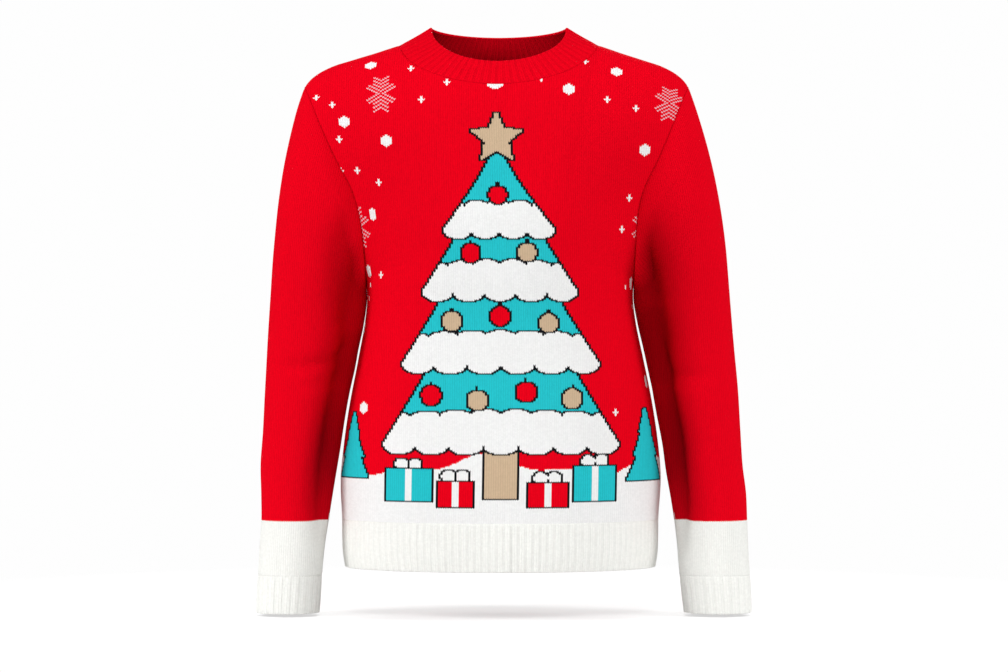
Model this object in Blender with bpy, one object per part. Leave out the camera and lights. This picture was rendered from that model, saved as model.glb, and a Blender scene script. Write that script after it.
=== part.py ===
"""A knitted crew-neck Christmas jumper, filled out as when it is worn.

Metres, +Z up, the front faces -Y. The origin lies between the shoulders, level with
their middle, where a wearer carries the weight. The left sleeve is at -X, as seen
from the front.

Nine cloth pieces are knitted, cut and linked together: a front and a back panel, two
sleeves, a ribbed hem in two halves, two ribbed cuffs and a ribbed neckband. Each is a
thin wall: its outer points are worked out from tables of sizes, and its inner points
lie one cloth thickness behind them. Ribs are raised in the outer points only.
"""

import math
from collections import namedtuple

import bmesh
import bpy
import numpy as np

# Cloth and seams
CLOTH = 0.0022          # thickness of the plain knit
RIB_CLOTH = 0.0024      # thickness of a rib fabric between its ribs
BAND_CLOTH = 0.0030     # the neckband is knitted double
RIB_RISE = 0.0011       # height of a rib
SEAM_GAP = 0.0003       # space between two pieces at a seam
ARMHOLE_GAP = 0.0004    # a little more where a sleeve turns away from the body

# Colours
RED = (0.80, 0.003, 0.012)
CREAM = (0.88, 0.88, 0.84)
KNIT_ROUGHNESS = 0.9
SMOOTH_BELOW = 50.0     # degrees, the sharpest fold that is shaded smooth

# Heights
HEM_BOTTOM = -0.6180
HEM_TOP = -0.5595
UNDERARM = -0.2720
SHOULDER_POINT = -0.0332

# Counts of ribs
HEM_RIBS = 58           # on each half of the hem
CUFF_RIBS = 24
BAND_RIBS = 62

# How finely the walls are divided
NECK_COLUMNS = 7        # from the centre to the neck point
SHOULDER_COLUMNS = 7    # from the neck point to the side
SIDE_ROWS = 7           # from the hem to the underarm
ARM_ROWS = 12           # from the underarm to the shoulder point
HEM_ROWS = 2
BAND_ROWS = 3

NECK_HALF = 0.1208      # neck point, from the centre
SHOULDER_HALF = 0.2342  # shoulder point, from the centre
OVER_SHOULDER_FRONT = 0.120   # height over which the front rounds over to the seam
OVER_SHOULDER_BACK = 0.100
ARMHOLE_FRONT = 0.051   # how far the armhole swings forward
ARMHOLE_BACK = 0.055
CHEST_SQUARE = 0.4      # how much squarer than an ellipse the chest is
CHEST_FLAT = 0.3        # how much flatter towards the armholes
CHEST_START = -0.295    # where the waist's ellipse starts to turn into the chest's form
CHEST_SPAN = 0.140      # the height over which it does so
UNDERARM_TURN = 62.0    # degrees either side of the underarm where the sleeve folds back

BodyRow = namedtuple("BodyRow", "height half_width front_depth back_depth")
BODY = (
    BodyRow(-0.618, 0.1888, 0.1220, 0.1175),
    BodyRow(-0.600, 0.1915, 0.1238, 0.1198),
    BodyRow(-0.560, 0.1928, 0.1250, 0.1210),
    BodyRow(-0.513, 0.1952, 0.1260, 0.1215),
    BodyRow(-0.470, 0.1918, 0.1250, 0.1190),
    BodyRow(-0.419, 0.1844, 0.1220, 0.1140),
    BodyRow(-0.366, 0.1740, 0.1180, 0.1070),
    BodyRow(-0.318, 0.1648, 0.1160, 0.1020),
    BodyRow(-0.290, 0.1622, 0.1170, 0.1015),
    BodyRow(-0.272, 0.1628, 0.1180, 0.1025),
    BodyRow(-0.220, 0.1660, 0.1180, 0.1050),
    BodyRow(-0.170, 0.1740, 0.1130, 0.1065),
    BodyRow(-0.120, 0.1960, 0.1060, 0.1040),
    BodyRow(-0.070, 0.2180, 0.0980, 0.0990),
    BodyRow(-0.020, 0.2342, 0.0900, 0.0920),
    BodyRow(0.050, 0.2342, 0.0800, 0.0850),
)

ArmholeRow = namedtuple("ArmholeRow", "height half_width")
ARMHOLE = (
    ArmholeRow(-0.2720, 0.1628),
    ArmholeRow(-0.2650, 0.1626),
    ArmholeRow(-0.2296, 0.1642),
    ArmholeRow(-0.1873, 0.1688),
    ArmholeRow(-0.1596, 0.1765),
    ArmholeRow(-0.1246, 0.1940),
    ArmholeRow(-0.0810, 0.2135),
    ArmholeRow(-0.0500, 0.2262),
    ArmholeRow(-0.0332, 0.2342),
)

ShoulderRow = namedtuple("ShoulderRow", "half_width height")
SHOULDER = (
    ShoulderRow(0.0000, 0.0460),
    ShoulderRow(0.0600, 0.0370),
    ShoulderRow(0.1208, 0.0176),
    ShoulderRow(0.1366, 0.0140),
    ShoulderRow(0.1659, 0.0048),
    ShoulderRow(0.1983, -0.0056),
    ShoulderRow(0.2178, -0.0149),
    ShoulderRow(0.2306, -0.0250),
    ShoulderRow(0.2342, -0.0332),
)

# The neck: how low the seam and the top edge of the band lie, front and back
NeckRow = namedtuple("NeckRow", "half_width side_height front_drop back_drop front_bend back_bend")
NECK_SEAM = NeckRow(0.1208, 0.0176, 0.0530, 0.0150, 0.590, 0.60)
NECK_EDGE = NeckRow(0.0822, 0.0397, 0.0455, 0.0068, 0.356, 0.80)
NECK_EDGE_FRONT = 0.0660    # how far forward the top edge of the band lies
NECK_EDGE_BACK = 0.0700
BAND_HOLLOW = 0.0007        # how far the band curves in on its way up

# The garment hangs a little to one side at its shoulders
SwayRow = namedtuple("SwayRow", "height shift")
SWAY = (
    SwayRow(-0.620, 0.0004),
    SwayRow(-0.560, 0.0004),
    SwayRow(-0.470, 0.0014),
    SwayRow(-0.400, 0.0014),
    SwayRow(-0.310, 0.0004),
    SwayRow(-0.270, 0.0000),
    SwayRow(-0.220, -0.0006),
    SwayRow(-0.170, -0.0024),
    SwayRow(-0.112, -0.0037),
    SwayRow(-0.060, -0.0043),
    SwayRow(-0.030, -0.0040),
    SwayRow(-0.005, -0.0030),
    SwayRow(0.018, -0.0012),
    SwayRow(0.045, -0.0012),
)

# One ring of a sleeve: its outer and inner ends, and its half depth front to back
SleeveRow = namedtuple(
    "SleeveRow",
    "outer_height inner_height left_outer left_inner right_outer right_inner"
    " half_depth forward bow",
)
SLEEVE = (
    SleeveRow(-0.0560, -0.2800, 0.2448, 0.1650, 0.2462, 0.1650, 0.0560, 0.0000, 0.010),
    SleeveRow(-0.0860, -0.2920, 0.2514, 0.1662, 0.2535, 0.1662, 0.0575, 0.0000, 0.004),
    SleeveRow(-0.1260, -0.3080, 0.2606, 0.1682, 0.2632, 0.1690, 0.0570, 0.0010, 0.000),
    SleeveRow(-0.1700, -0.3290, 0.2702, 0.1700, 0.2730, 0.1704, 0.0550, 0.0020, 0.000),
    SleeveRow(-0.2260, -0.3520, 0.2775, 0.1730, 0.2790, 0.1738, 0.0530, 0.0030, 0.000),
    SleeveRow(-0.2930, -0.3790, 0.2820, 0.1778, 0.2826, 0.1786, 0.0510, 0.0040, 0.000),
    SleeveRow(-0.3540, -0.4070, 0.2858, 0.1836, 0.2859, 0.1842, 0.0490, 0.0060, 0.000),
    SleeveRow(-0.4050, -0.4350, 0.2890, 0.1886, 0.2908, 0.1890, 0.0470, 0.0080, 0.000),
    SleeveRow(-0.4520, -0.4680, 0.2914, 0.1936, 0.2928, 0.1952, 0.0450, 0.0100, 0.000),
    SleeveRow(-0.4930, -0.5010, 0.2936, 0.1990, 0.2957, 0.1996, 0.0437, 0.0120, 0.000),
    SleeveRow(-0.5300, -0.5330, 0.2910, 0.2040, 0.2990, 0.2060, 0.0426, 0.0130, 0.000),
    SleeveRow(-0.5590, -0.5590, 0.2904, 0.2080, 0.3003, 0.2105, 0.0415, 0.0140, 0.000),
    SleeveRow(-0.5930, -0.5930, 0.2926, 0.2134, 0.3016, 0.2149, 0.0403, 0.0150, 0.000),
    SleeveRow(-0.6263, -0.6263, 0.2944, 0.2168, 0.3034, 0.2180, 0.0390, 0.0160, 0.000),
)
CUFF = (
    SLEEVE[-1],
    SleeveRow(-0.6500, -0.6500, 0.2958, 0.2182, 0.3046, 0.2208, 0.0378, 0.0165, 0.000),
    SleeveRow(-0.6728, -0.6728, 0.2962, 0.2198, 0.3051, 0.2234, 0.0366, 0.0170, 0.000),
)

# Soft troughs in the sleeves. The angle runs round the sleeve from its outer line
# (0), over the front (90) and the inner line (180) to the back (270).
Fold = namedtuple("Fold", "side top bottom angle_top angle_middle angle_bottom spread depth")
FOLDS = (
    Fold(-1, -0.130, -0.340, 146, 110, 148, 17, 0.0060),
    Fold(-1, -0.340, -0.555, 141, 130, 128, 19, 0.0064),
    Fold(-1, -0.150, -0.390, 222, 246, 236, 18, 0.0060),
    Fold(-1, -0.380, -0.560, 216, 226, 240, 18, 0.0050),
    Fold(1, -0.120, -0.300, 158, 146, 152, 14, 0.0050),
    Fold(1, -0.225, -0.400, 128, 124, 120, 15, 0.0045),
    Fold(1, -0.340, -0.570, 148, 128, 146, 19, 0.0075),
    Fold(1, -0.160, -0.360, 216, 240, 228, 17, 0.0060),
    Fold(1, -0.350, -0.580, 224, 234, 244, 20, 0.0055),
)


def through(rows, key, value, at):
    """A smooth curve through one column of a table, against another column."""
    keys = np.array([getattr(row, key) for row in rows])
    values = np.array([getattr(row, value) for row in rows])
    order = np.argsort(keys)
    keys = keys[order]
    values = values[order]
    rise = np.diff(values) / np.diff(keys)
    slope = np.concatenate((rise[:1], (rise[1:] + rise[:-1]) / 2.0, rise[-1:]))
    turning = np.concatenate(([False], rise[1:] * rise[:-1] <= 0.0, [False]))
    slope[turning] = 0.0
    at = np.clip(np.asarray(at, dtype=float), keys[0], keys[-1])
    i = np.clip(np.searchsorted(keys, at) - 1, 0, len(keys) - 2)
    step = keys[i + 1] - keys[i]
    t = (at - keys[i]) / step
    return (
        values[i] * (2 * t**3 - 3 * t**2 + 1)
        + values[i + 1] * (3 * t**2 - 2 * t**3)
        + slope[i] * step * (t**3 - 2 * t**2 + t)
        + slope[i + 1] * step * (t**3 - t**2)
    )


def ease(t):
    t = np.clip(t, 0.0, 1.0)
    return t * t * (3.0 - 2.0 * t)


def unit(v):
    return v / np.maximum(np.linalg.norm(v, axis=-1, keepdims=True), 1e-12)


def swayed(points):
    """The points moved sideways as the garment hangs."""
    out = np.array(points, dtype=float)
    out[..., 0] += through(SWAY, "height", "shift", out[..., 2])
    return out


def neck_height(row, x, front):
    """Height of a neck line at x, on the front or the back."""
    part = np.clip(1.0 - (np.abs(x) / row.half_width) ** 2, 0.0, 1.0)
    drop = row.front_drop if front else row.back_drop
    bend = row.front_bend if front else row.back_bend
    return row.side_height - drop * part**bend


def edge_curve(v, front):
    """The side seam (v from 0 to 1) and then the armhole (v from 1 to 2) of a panel."""
    v = np.asarray(v, dtype=float)
    side_height = HEM_TOP + (UNDERARM - HEM_TOP) * np.clip(v, 0.0, 1.0)
    turn = math.pi * (2.0 - np.clip(v, 1.0, 2.0))
    middle = (SHOULDER_POINT + UNDERARM) / 2.0
    reach = (SHOULDER_POINT - UNDERARM) / 2.0
    arm_height = middle + reach * np.cos(turn)
    height = np.where(v <= 1.0, side_height, arm_height)
    half = np.where(
        v <= 1.0,
        through(BODY, "height", "half_width", side_height),
        through(ARMHOLE, "height", "half_width", arm_height),
    )
    swing = ARMHOLE_FRONT if front else ARMHOLE_BACK
    depth = np.where(v <= 1.0, 0.0, swing * np.sin(turn))
    return half, depth, height


def over_shoulder(x, z, front):
    """The share of its depth that a panel keeps as it rounds over to the shoulder seam."""
    rounding = OVER_SHOULDER_FRONT if front else OVER_SHOULDER_BACK
    ridge = through(SHOULDER, "half_width", "height", np.abs(x))
    t = np.clip((ridge - z) / rounding, 0.0, 1.0)
    return np.sqrt(np.clip(1.0 - (1.0 - t) ** 2, 0.0, 1.0))


def row_form(z):
    """How square and how flat the garment's section is at a height."""
    chest = ease((z - CHEST_START) / CHEST_SPAN)
    return 2.0 + CHEST_SQUARE * chest, 0.5 + CHEST_FLAT * chest


def panel_points(u, v, front):
    """Outer points of a body panel. u runs from side to side (-1 to 1), v up (0 to 2)."""
    column = "front_depth" if front else "back_depth"
    half, edge_depth, edge_height = edge_curve(v, front)
    top_x = u * SHOULDER_HALF
    neck = neck_height(NECK_SEAM, top_x, front)
    shoulder = through(SHOULDER, "half_width", "height", np.abs(top_x))
    top = np.where(np.abs(top_x) < NECK_HALF, neck, shoulder)
    part = (edge_height - HEM_TOP) / (SHOULDER_POINT - HEM_TOP)
    x = u * half
    z = HEM_TOP + (top - HEM_TOP) * part
    # A row is part of a wider one, which the armhole cuts off at its own depth.
    square, flat = row_form(edge_height)
    level = np.minimum(edge_height, SHOULDER_POINT - 1e-6)
    full = through(BODY, "height", column, level) * over_shoulder(SHOULDER_HALF, level, front)
    ratio = np.clip(edge_depth / full, 0.0, 0.95)
    reach = (1.0 - ratio ** (1.0 / flat)) ** (1.0 / square)
    square, flat = row_form(z)
    row = np.clip(1.0 - (np.abs(u) * reach) ** square, 0.0, 1.0) ** flat
    y = through(BODY, "height", column, z) * over_shoulder(top_x, z, front) * row
    return np.stack((x, -y if front else y, z), axis=-1)


def grid_normals(points, closed):
    """The cross product of a grid's steps along its rows and up its columns."""
    if closed:
        across = np.roll(points, -1, axis=1) - np.roll(points, 1, axis=1)
    else:
        across = np.gradient(points, axis=1)
    along = np.gradient(points, axis=0)
    return unit(np.cross(across, along))


def build_wall(name, outer, inner, closed, colour):
    """One closed solid from a grid of outer points and a grid of inner points."""
    outer = swayed(outer)
    inner = swayed(inner)
    rows, columns = outer.shape[:2]
    bm = bmesh.new()
    out = [[bm.verts.new(p) for p in row] for row in outer.tolist()]
    ins = [[bm.verts.new(p) for p in row] for row in inner.tolist()]
    spans = columns if closed else columns - 1
    for i in range(rows - 1):
        for j in range(spans):
            k = (j + 1) % columns
            bm.faces.new((out[i][j], out[i][k], out[i + 1][k], out[i + 1][j]))
            bm.faces.new((ins[i][j], ins[i + 1][j], ins[i + 1][k], ins[i][k]))
    for j in range(spans):
        k = (j + 1) % columns
        bm.faces.new((out[0][j], ins[0][j], ins[0][k], out[0][k]))
        bm.faces.new((out[-1][j], out[-1][k], ins[-1][k], ins[-1][j]))
    if not closed:
        for i in range(rows - 1):
            bm.faces.new((out[i][0], out[i + 1][0], ins[i + 1][0], ins[i][0]))
            bm.faces.new((out[i][-1], ins[i][-1], ins[i + 1][-1], out[i + 1][-1]))
    bmesh.ops.recalc_face_normals(bm, faces=bm.faces[:])
    mesh = bpy.data.meshes.new(name)
    bm.to_mesh(mesh)
    bm.free()
    mesh.shade_smooth()
    mesh.set_sharp_from_angle(angle=math.radians(SMOOTH_BELOW))
    ob = bpy.data.objects.new(name, mesh)
    bpy.context.scene.collection.objects.link(ob)
    material = bpy.data.materials.new(name)
    material.use_nodes = True
    shader = material.node_tree.nodes["Principled BSDF"]
    shader.inputs["Base Color"].default_value = (*colour, 1.0)
    shader.inputs["Roughness"].default_value = KNIT_ROUGHNESS
    mesh.materials.append(material)
    return ob


def panel_columns():
    """Where the columns of a panel lie, close together at the neck point and the side."""
    neck = NECK_HALF / SHOULDER_HALF
    turn = np.arange(NECK_COLUMNS) / NECK_COLUMNS
    inner = neck * np.sin(turn * math.pi / 2)
    turn = np.arange(SHOULDER_COLUMNS + 1) / SHOULDER_COLUMNS
    outer = neck + (1.0 - neck) * np.sin(turn * math.pi / 2)
    half = np.concatenate((inner, outer))
    return np.concatenate((-half[:0:-1], half))


def panel_rows():
    return np.concatenate((
        np.linspace(0.0, 1.0, SIDE_ROWS + 1),
        np.linspace(1.0, 2.0, ARM_ROWS + 1)[1:],
    ))


def clear_of_seam(points, front):
    """Keeps a panel on its own side of the side and shoulder seams."""
    out = points.copy()
    half_gap = SEAM_GAP / 2.0
    if front:
        out[..., 1] = np.minimum(out[..., 1], -half_gap)
    else:
        out[..., 1] = np.maximum(out[..., 1], half_gap)
    return out


def panel_grid(front):
    u = panel_columns()
    v = panel_rows()
    uu, vv = np.meshgrid(u, v)
    return panel_points(uu, vv, front)


def panel_normals(points, front):
    """Outward directions, which stay in the plane of the side and shoulder seams."""
    normals = grid_normals(points, closed=False) * (1.0 if front else -1.0)
    side = slice(0, SIDE_ROWS + 1)
    normals[side, 0] = (-1.0, 0.0, 0.0)
    normals[side, -1] = (1.0, 0.0, 0.0)
    shoulder = np.abs(panel_columns()) >= NECK_HALF / SHOULDER_HALF - 1e-6
    normals[-1, shoulder, 1] = 0.0
    return unit(normals)


def sleeve_ring(row, turn, side):
    """Outer points of one ring of a sleeve, at angles from its outer line."""
    outer_x = row.left_outer if side < 0 else row.right_outer
    inner_x = row.left_inner if side < 0 else row.right_inner
    outer = np.array((outer_x, -row.forward, row.outer_height))
    inner = np.array((inner_x, -row.forward, row.inner_height))
    deep = np.array((0.0, -row.half_depth, 0.0))
    turn_in = np.cos(turn)[:, None]
    turn_out = np.sin(turn)[:, None]
    points = (outer + inner) / 2.0 + turn_in * (outer - inner) / 2.0 + turn_out * deep
    points[:, 0] -= row.bow * np.sin(turn) ** 2
    points[:, 0] *= side
    return points


def armhole_ring(side):
    """The loop of the two panels' armhole edges, in the order of a sleeve ring."""
    v = np.linspace(2.0, 1.0, ARM_ROWS + 1)
    loop = []
    for front in (True, False):
        half, depth, height = edge_curve(v, front)
        points = np.stack((half * side, -depth if front else depth, height), axis=-1)
        loop.append(points if front else points[::-1][1:-1])
    return np.concatenate(loop)


def fold_depth(side, turn, z):
    """How far the sleeve's surface is pressed in at an angle and height."""
    degrees = np.degrees(turn) % 360.0
    total = np.zeros_like(z)
    for fold in FOLDS:
        if fold.side != side:
            continue
        t = (fold.top - z) / (fold.top - fold.bottom)
        inside = np.clip(t, 0.0, 1.0)
        bend = fold.angle_middle - (fold.angle_top + fold.angle_bottom) / 2.0
        centre = (
            fold.angle_top
            + (fold.angle_bottom - fold.angle_top) * inside
            + 4.0 * bend * inside * (1.0 - inside)
        )
        along = np.sin(math.pi * inside) ** 0.8
        across = np.exp(-(((degrees - centre) / fold.spread) ** 2))
        total = total + fold.depth * along * across
    return total


def sleeve_turns():
    return np.arange(2 * ARM_ROWS) * math.pi / ARM_ROWS


def sleeve_grid(side):
    """Outer points of a sleeve, from the armhole to the top of the cuff."""
    turn = sleeve_turns()
    first = armhole_ring(side)
    rings = [sleeve_ring(row, turn, side) for row in SLEEVE]
    # The sleeve starts a seam's gap beyond the armhole. Under the arm, where it turns
    # back down beside the body, that is up and outwards.
    beyond = unit(rings[1] - first)
    lift = unit(np.array((side, 0.0, 0.9)))
    under = np.abs(np.degrees(turn) - 180.0)
    weight = ease(1.5 * (1.0 - under / UNDERARM_TURN))[:, None]
    step = unit(beyond * (1.0 - weight) + lift * weight)
    grid = np.stack([first + step * ARMHOLE_GAP] + rings)
    pressed = fold_depth(side, np.broadcast_to(turn, grid.shape[:2]), grid[..., 2])
    pressed[0] = 0.0
    return grid - sleeve_normals(grid, side) * pressed[..., None]


def sleeve_normals(grid, side):
    return grid_normals(grid, closed=True) * side


def seam_normals(one, other):
    """One shared direction for two walls that meet, where they face much alike."""
    alike = np.sum(one * other, axis=-1, keepdims=True)
    weight = ease(2.0 * alike - 0.2)
    return unit(one * (1.0 - weight) + unit(one + other) * weight)


def follow(points, count, closed):
    """Even steps along a polyline: the points, where they lie on it, and its lengths."""
    line = np.concatenate((points, points[:1])) if closed else points
    length = np.concatenate(([0.0], np.cumsum(np.linalg.norm(np.diff(line, axis=0), axis=1))))
    steps = count if closed else count + 1
    at = np.arange(steps) * length[-1] / count
    return np.stack([np.interp(at, length, line[:, i]) for i in range(3)], axis=-1), at, length


def ribbed(outer, normals, first=0):
    """Raises every second column of a grid by the height of a rib."""
    raised = outer.copy()
    raised[:, first::2] += normals[:, first::2] * RIB_RISE
    return raised


def hem_grid(front):
    """Outer points of one half of the hem rib, from its bottom edge to the panel."""
    u = panel_columns()
    top = panel_points(u, np.zeros_like(u), front)
    column = "front_depth" if front else "back_depth"
    rows = []
    for z in np.linspace(HEM_BOTTOM, HEM_TOP - SEAM_GAP, HEM_ROWS + 1):
        wide = through(BODY, "height", "half_width", z) / top[-1, 0]
        deep = through(BODY, "height", column, z) / np.abs(top[:, 1]).max()
        ring = top * np.array((wide, deep, 0.0)) + np.array((0.0, 0.0, z))
        rows.append(follow(ring, 2 * HEM_RIBS, closed=False)[0])
    return np.stack(rows)


def band_edge(part, front):
    """Top edge of the neckband, part running from the left neck point to the right."""
    angle = math.pi * part
    x = -NECK_EDGE.half_width * np.cos(angle)
    reach = NECK_EDGE_FRONT if front else NECK_EDGE_BACK
    y = reach * np.sin(angle)
    z = neck_height(NECK_EDGE, x, front)
    return np.stack((x, -y if front else y, z), axis=-1)


def even_parts(curve, count):
    """Parts from 0 to 1 that step evenly along a curve given as a function."""
    fine = np.linspace(0.0, 1.0, 400)
    points = curve(fine)
    length = np.concatenate(([0.0], np.cumsum(np.linalg.norm(np.diff(points, axis=0), axis=1))))
    return np.interp(np.arange(count + 1) * length[-1] / count, length, fine)


def band_grid(front_edge, back_edge):
    """Outer points of the neckband, from its seam to its top edge, all round."""
    low = []
    high = []
    for front, edge in ((True, front_edge), (False, back_edge)):
        line = follow(edge, BAND_RIBS, closed=False)[0]
        parts = even_parts(lambda p, f=front: band_edge(p, f), BAND_RIBS)
        top = band_edge(parts, front)
        low.append(line[:-1])
        high.append(top[:-1] if front else top[:0:-1])
    low = np.concatenate(low)
    high = np.concatenate(high)
    low = low + unit(high - low) * SEAM_GAP
    rise = np.linspace(0.0, 1.0, BAND_ROWS + 1)[:, None, None]
    grid = low * (1.0 - rise) + high * rise
    return grid - grid_normals(grid, closed=True) * BAND_HOLLOW * np.sin(math.pi * rise)


def share_neck_normals(grids, normals, band, band_n):
    """Gives the panels' neck edges and the band's first row one direction at each point."""
    inside = np.abs(panel_columns()) <= NECK_HALF / SHOULDER_HALF + 1e-6
    low = (band[0, :BAND_RIBS], band[0, BAND_RIBS:])
    low_n = (band_n[0, :BAND_RIBS], band_n[0, BAND_RIBS:])
    shared = []
    for index in (0, 1):
        edge = grids[index][-1, inside]
        apart = np.linalg.norm(edge[:, None] - low[index][None], axis=-1)
        nearest = np.argmin(apart, axis=1)
        shared.append(unit(normals[index][-1, inside] + low_n[index][nearest]))
    for end in (0, -1):
        both = shared[0][end] + shared[1][end]
        both[1] = 0.0
        shared[0][end] = unit(both)
        shared[1][end] = unit(both)
    first_row = []
    for index, step in ((0, 1), (1, -1)):
        normals[index][-1, inside] = shared[index]
        edge = grids[index][-1, inside][::step]
        _, at, length = follow(edge, BAND_RIBS, closed=False)
        line = [np.interp(at, length, shared[index][::step, i]) for i in range(3)]
        first_row.append(unit(np.stack(line, axis=-1))[:-1])
    band_n[0] = np.concatenate(first_row)


def share_armhole_normals(normals, sleeve_n, side):
    """Gives a panel's armhole edge and the sleeve one direction where they face alike."""
    column = 0 if side < 0 else -1
    steps = np.arange(ARM_ROWS + 1)
    for index, ring in ((0, ARM_ROWS - steps), (1, (ARM_ROWS + steps) % (2 * ARM_ROWS))):
        edge = normals[index][SIDE_ROWS:, column].copy()
        sleeve = sleeve_n[0][ring].copy()
        normals[index][SIDE_ROWS:, column] = seam_normals(edge, sleeve)
        sleeve_n[0][ring] = seam_normals(sleeve, edge)
        normals[index][-1, column, 1] = 0.0
        normals[index][-1, column] = unit(normals[index][-1, column])


def main():
    for ob in list(bpy.data.objects):
        bpy.data.objects.remove(ob, do_unlink=True)

    panels = [panel_grid(True), panel_grid(False)]
    panel_n = [panel_normals(panels[0], True), panel_normals(panels[1], False)]
    inside = np.abs(panel_columns()) <= NECK_HALF / SHOULDER_HALF + 1e-6
    band = band_grid(panels[0][-1, inside], panels[1][-1, inside][::-1])
    band_n = grid_normals(band, closed=True)
    share_neck_normals(panels, panel_n, band, band_n)

    for side, name in ((-1, "sleeve_left"), (1, "sleeve_right")):
        outer = sleeve_grid(side)
        normals = sleeve_normals(outer, side)
        share_armhole_normals(panel_n, normals, side)
        build_wall(name, outer, outer - normals * CLOTH, True, RED)

    for index, name in ((0, "front_panel"), (1, "back_panel")):
        front = index == 0
        inner = panels[index] - panel_n[index] * CLOTH
        outer = clear_of_seam(panels[index], front)
        build_wall(name, outer, clear_of_seam(inner, front), False, RED)

    outer = ribbed(band, band_n)
    build_wall("neckband", outer, band - band_n * BAND_CLOTH, True, RED)

    for front, name in ((True, "hem_rib_front"), (False, "hem_rib_back")):
        base = hem_grid(front)
        normals = grid_normals(base, closed=False) * (1.0 if front else -1.0)
        normals[..., 2] = 0.0
        normals[:, 0] = (-1.0, 0.0, 0.0)
        normals[:, -1] = (1.0, 0.0, 0.0)
        normals = unit(normals)
        outer = clear_of_seam(ribbed(base, normals, first=1), front)
        inner = clear_of_seam(base - normals * RIB_CLOTH, front)
        build_wall(name, outer, inner, False, CREAM)

    for side, name in ((-1, "cuff_left"), (1, "cuff_right")):
        rings = [sleeve_ring(row, sleeve_turns(), side) for row in CUFF]
        base = np.stack([follow(ring, 2 * CUFF_RIBS, closed=True)[0] for ring in rings])
        base[0, :, 2] -= SEAM_GAP
        normals = sleeve_normals(base, side)
        build_wall(name, ribbed(base, normals), base - normals * RIB_CLOTH, True, CREAM)


main()
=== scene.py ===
"""The Christmas jumper, knitted over its plain solids.

Each cloth piece is a thin shell on its solid's form: a fine outer layer and a plain
inner one. Wales (w) are counted across a piece from its middle and rows (r) upwards,
so the same two numbers place a stitch, its colour and its relief.
"""

import math
from collections import namedtuple

import bpy
import mathutils
import numpy as np
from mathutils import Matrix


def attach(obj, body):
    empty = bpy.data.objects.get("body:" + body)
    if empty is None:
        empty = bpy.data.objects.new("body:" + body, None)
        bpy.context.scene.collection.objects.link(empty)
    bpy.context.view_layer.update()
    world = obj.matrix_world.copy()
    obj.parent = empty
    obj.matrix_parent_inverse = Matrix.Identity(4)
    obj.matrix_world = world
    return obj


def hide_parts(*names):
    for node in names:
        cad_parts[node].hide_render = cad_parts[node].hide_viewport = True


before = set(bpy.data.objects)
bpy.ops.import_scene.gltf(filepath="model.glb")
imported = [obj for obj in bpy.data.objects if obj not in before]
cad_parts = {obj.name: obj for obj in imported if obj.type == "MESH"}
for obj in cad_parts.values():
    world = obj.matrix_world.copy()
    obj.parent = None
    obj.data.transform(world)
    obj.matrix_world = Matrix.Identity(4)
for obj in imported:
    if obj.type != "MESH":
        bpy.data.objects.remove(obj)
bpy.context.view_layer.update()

# Cloth and seams
CLOTH = 0.0022          # thickness of the plain knit
RIB_CLOTH = 0.0024      # thickness of a rib fabric between its ribs
BAND_CLOTH = 0.0030     # the neckband is knitted double
SEAM_GAP = 0.0003       # space between two pieces at a seam
ARMHOLE_GAP = 0.0004    # a little more where a sleeve turns away from the body

# Stitches
WALE = 0.00276          # width of one stitch
ROW = 0.00165           # height of one stitch
RIB_WALES = 3           # stitches across one rib and its furrow
STITCH_LEAN = 0.9       # how far the V of a stitch rises, in rows
ROLL = 0.0006           # how far an edge rolls in towards its seam
ROLL_WIDTH = 0.0040
SIDE_ROLL = 0.0004      # the same at the side and underarm seams
NECK_ROLL = 0.0001      # and where the neckband is linked on

# Heights, and half widths at the neck point and the shoulder point
HEM_BOTTOM = -0.6180
HEM_TOP = -0.5595
UNDERARM = -0.2720
SHOULDER_POINT = -0.0332
NECK_HALF = 0.1208
SHOULDER_HALF = 0.2342

# What differs between the front (True) and the back (False)
OVER_SHOULDER = {True: 0.120, False: 0.100}    # height over which a panel rounds to its seam
ARMHOLE_SWING = {True: 0.051, False: 0.055}    # how far the armhole swings out
NECK_EDGE_REACH = {True: 0.0660, False: 0.0700}    # how far out the band's top edge lies

CHEST_SQUARE = 0.4      # how much squarer than an ellipse the chest is
CHEST_FLAT = 0.3        # how much flatter towards the armholes
CHEST_START = -0.295    # where the waist's ellipse starts to turn into the chest's form
CHEST_SPAN = 0.140      # the height over which it does so
ARMHOLE_SHARE = 0.95    # the armhole takes up no more of a row's depth than this
BAND_HOLLOW = 0.0007    # how far the band curves in on its way up
BAND_SAMPLES = 400      # of its top edge, which is then divided evenly
TINY = 1e-6             # keeps a row just below the shoulder point


def table(columns, *rows):
    """The rows of a table, with named columns."""
    row = namedtuple("row", columns)
    return [row(*values) for values in rows]


BODY = table(
    "height half_width front_depth back_depth",
    (-0.618, 0.1888, 0.1220, 0.1175),
    (-0.600, 0.1915, 0.1238, 0.1198),
    (-0.560, 0.1928, 0.1250, 0.1210),
    (-0.513, 0.1952, 0.1260, 0.1215),
    (-0.470, 0.1918, 0.1250, 0.1190),
    (-0.419, 0.1844, 0.1220, 0.1140),
    (-0.366, 0.1740, 0.1180, 0.1070),
    (-0.318, 0.1648, 0.1160, 0.1020),
    (-0.290, 0.1622, 0.1170, 0.1015),
    (-0.272, 0.1628, 0.1180, 0.1025),
    (-0.220, 0.1660, 0.1180, 0.1050),
    (-0.170, 0.1740, 0.1130, 0.1065),
    (-0.120, 0.1960, 0.1060, 0.1040),
    (-0.070, 0.2180, 0.0980, 0.0990),
    (-0.020, 0.2342, 0.0900, 0.0920),
    (0.050, 0.2342, 0.0800, 0.0850),
)
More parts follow.
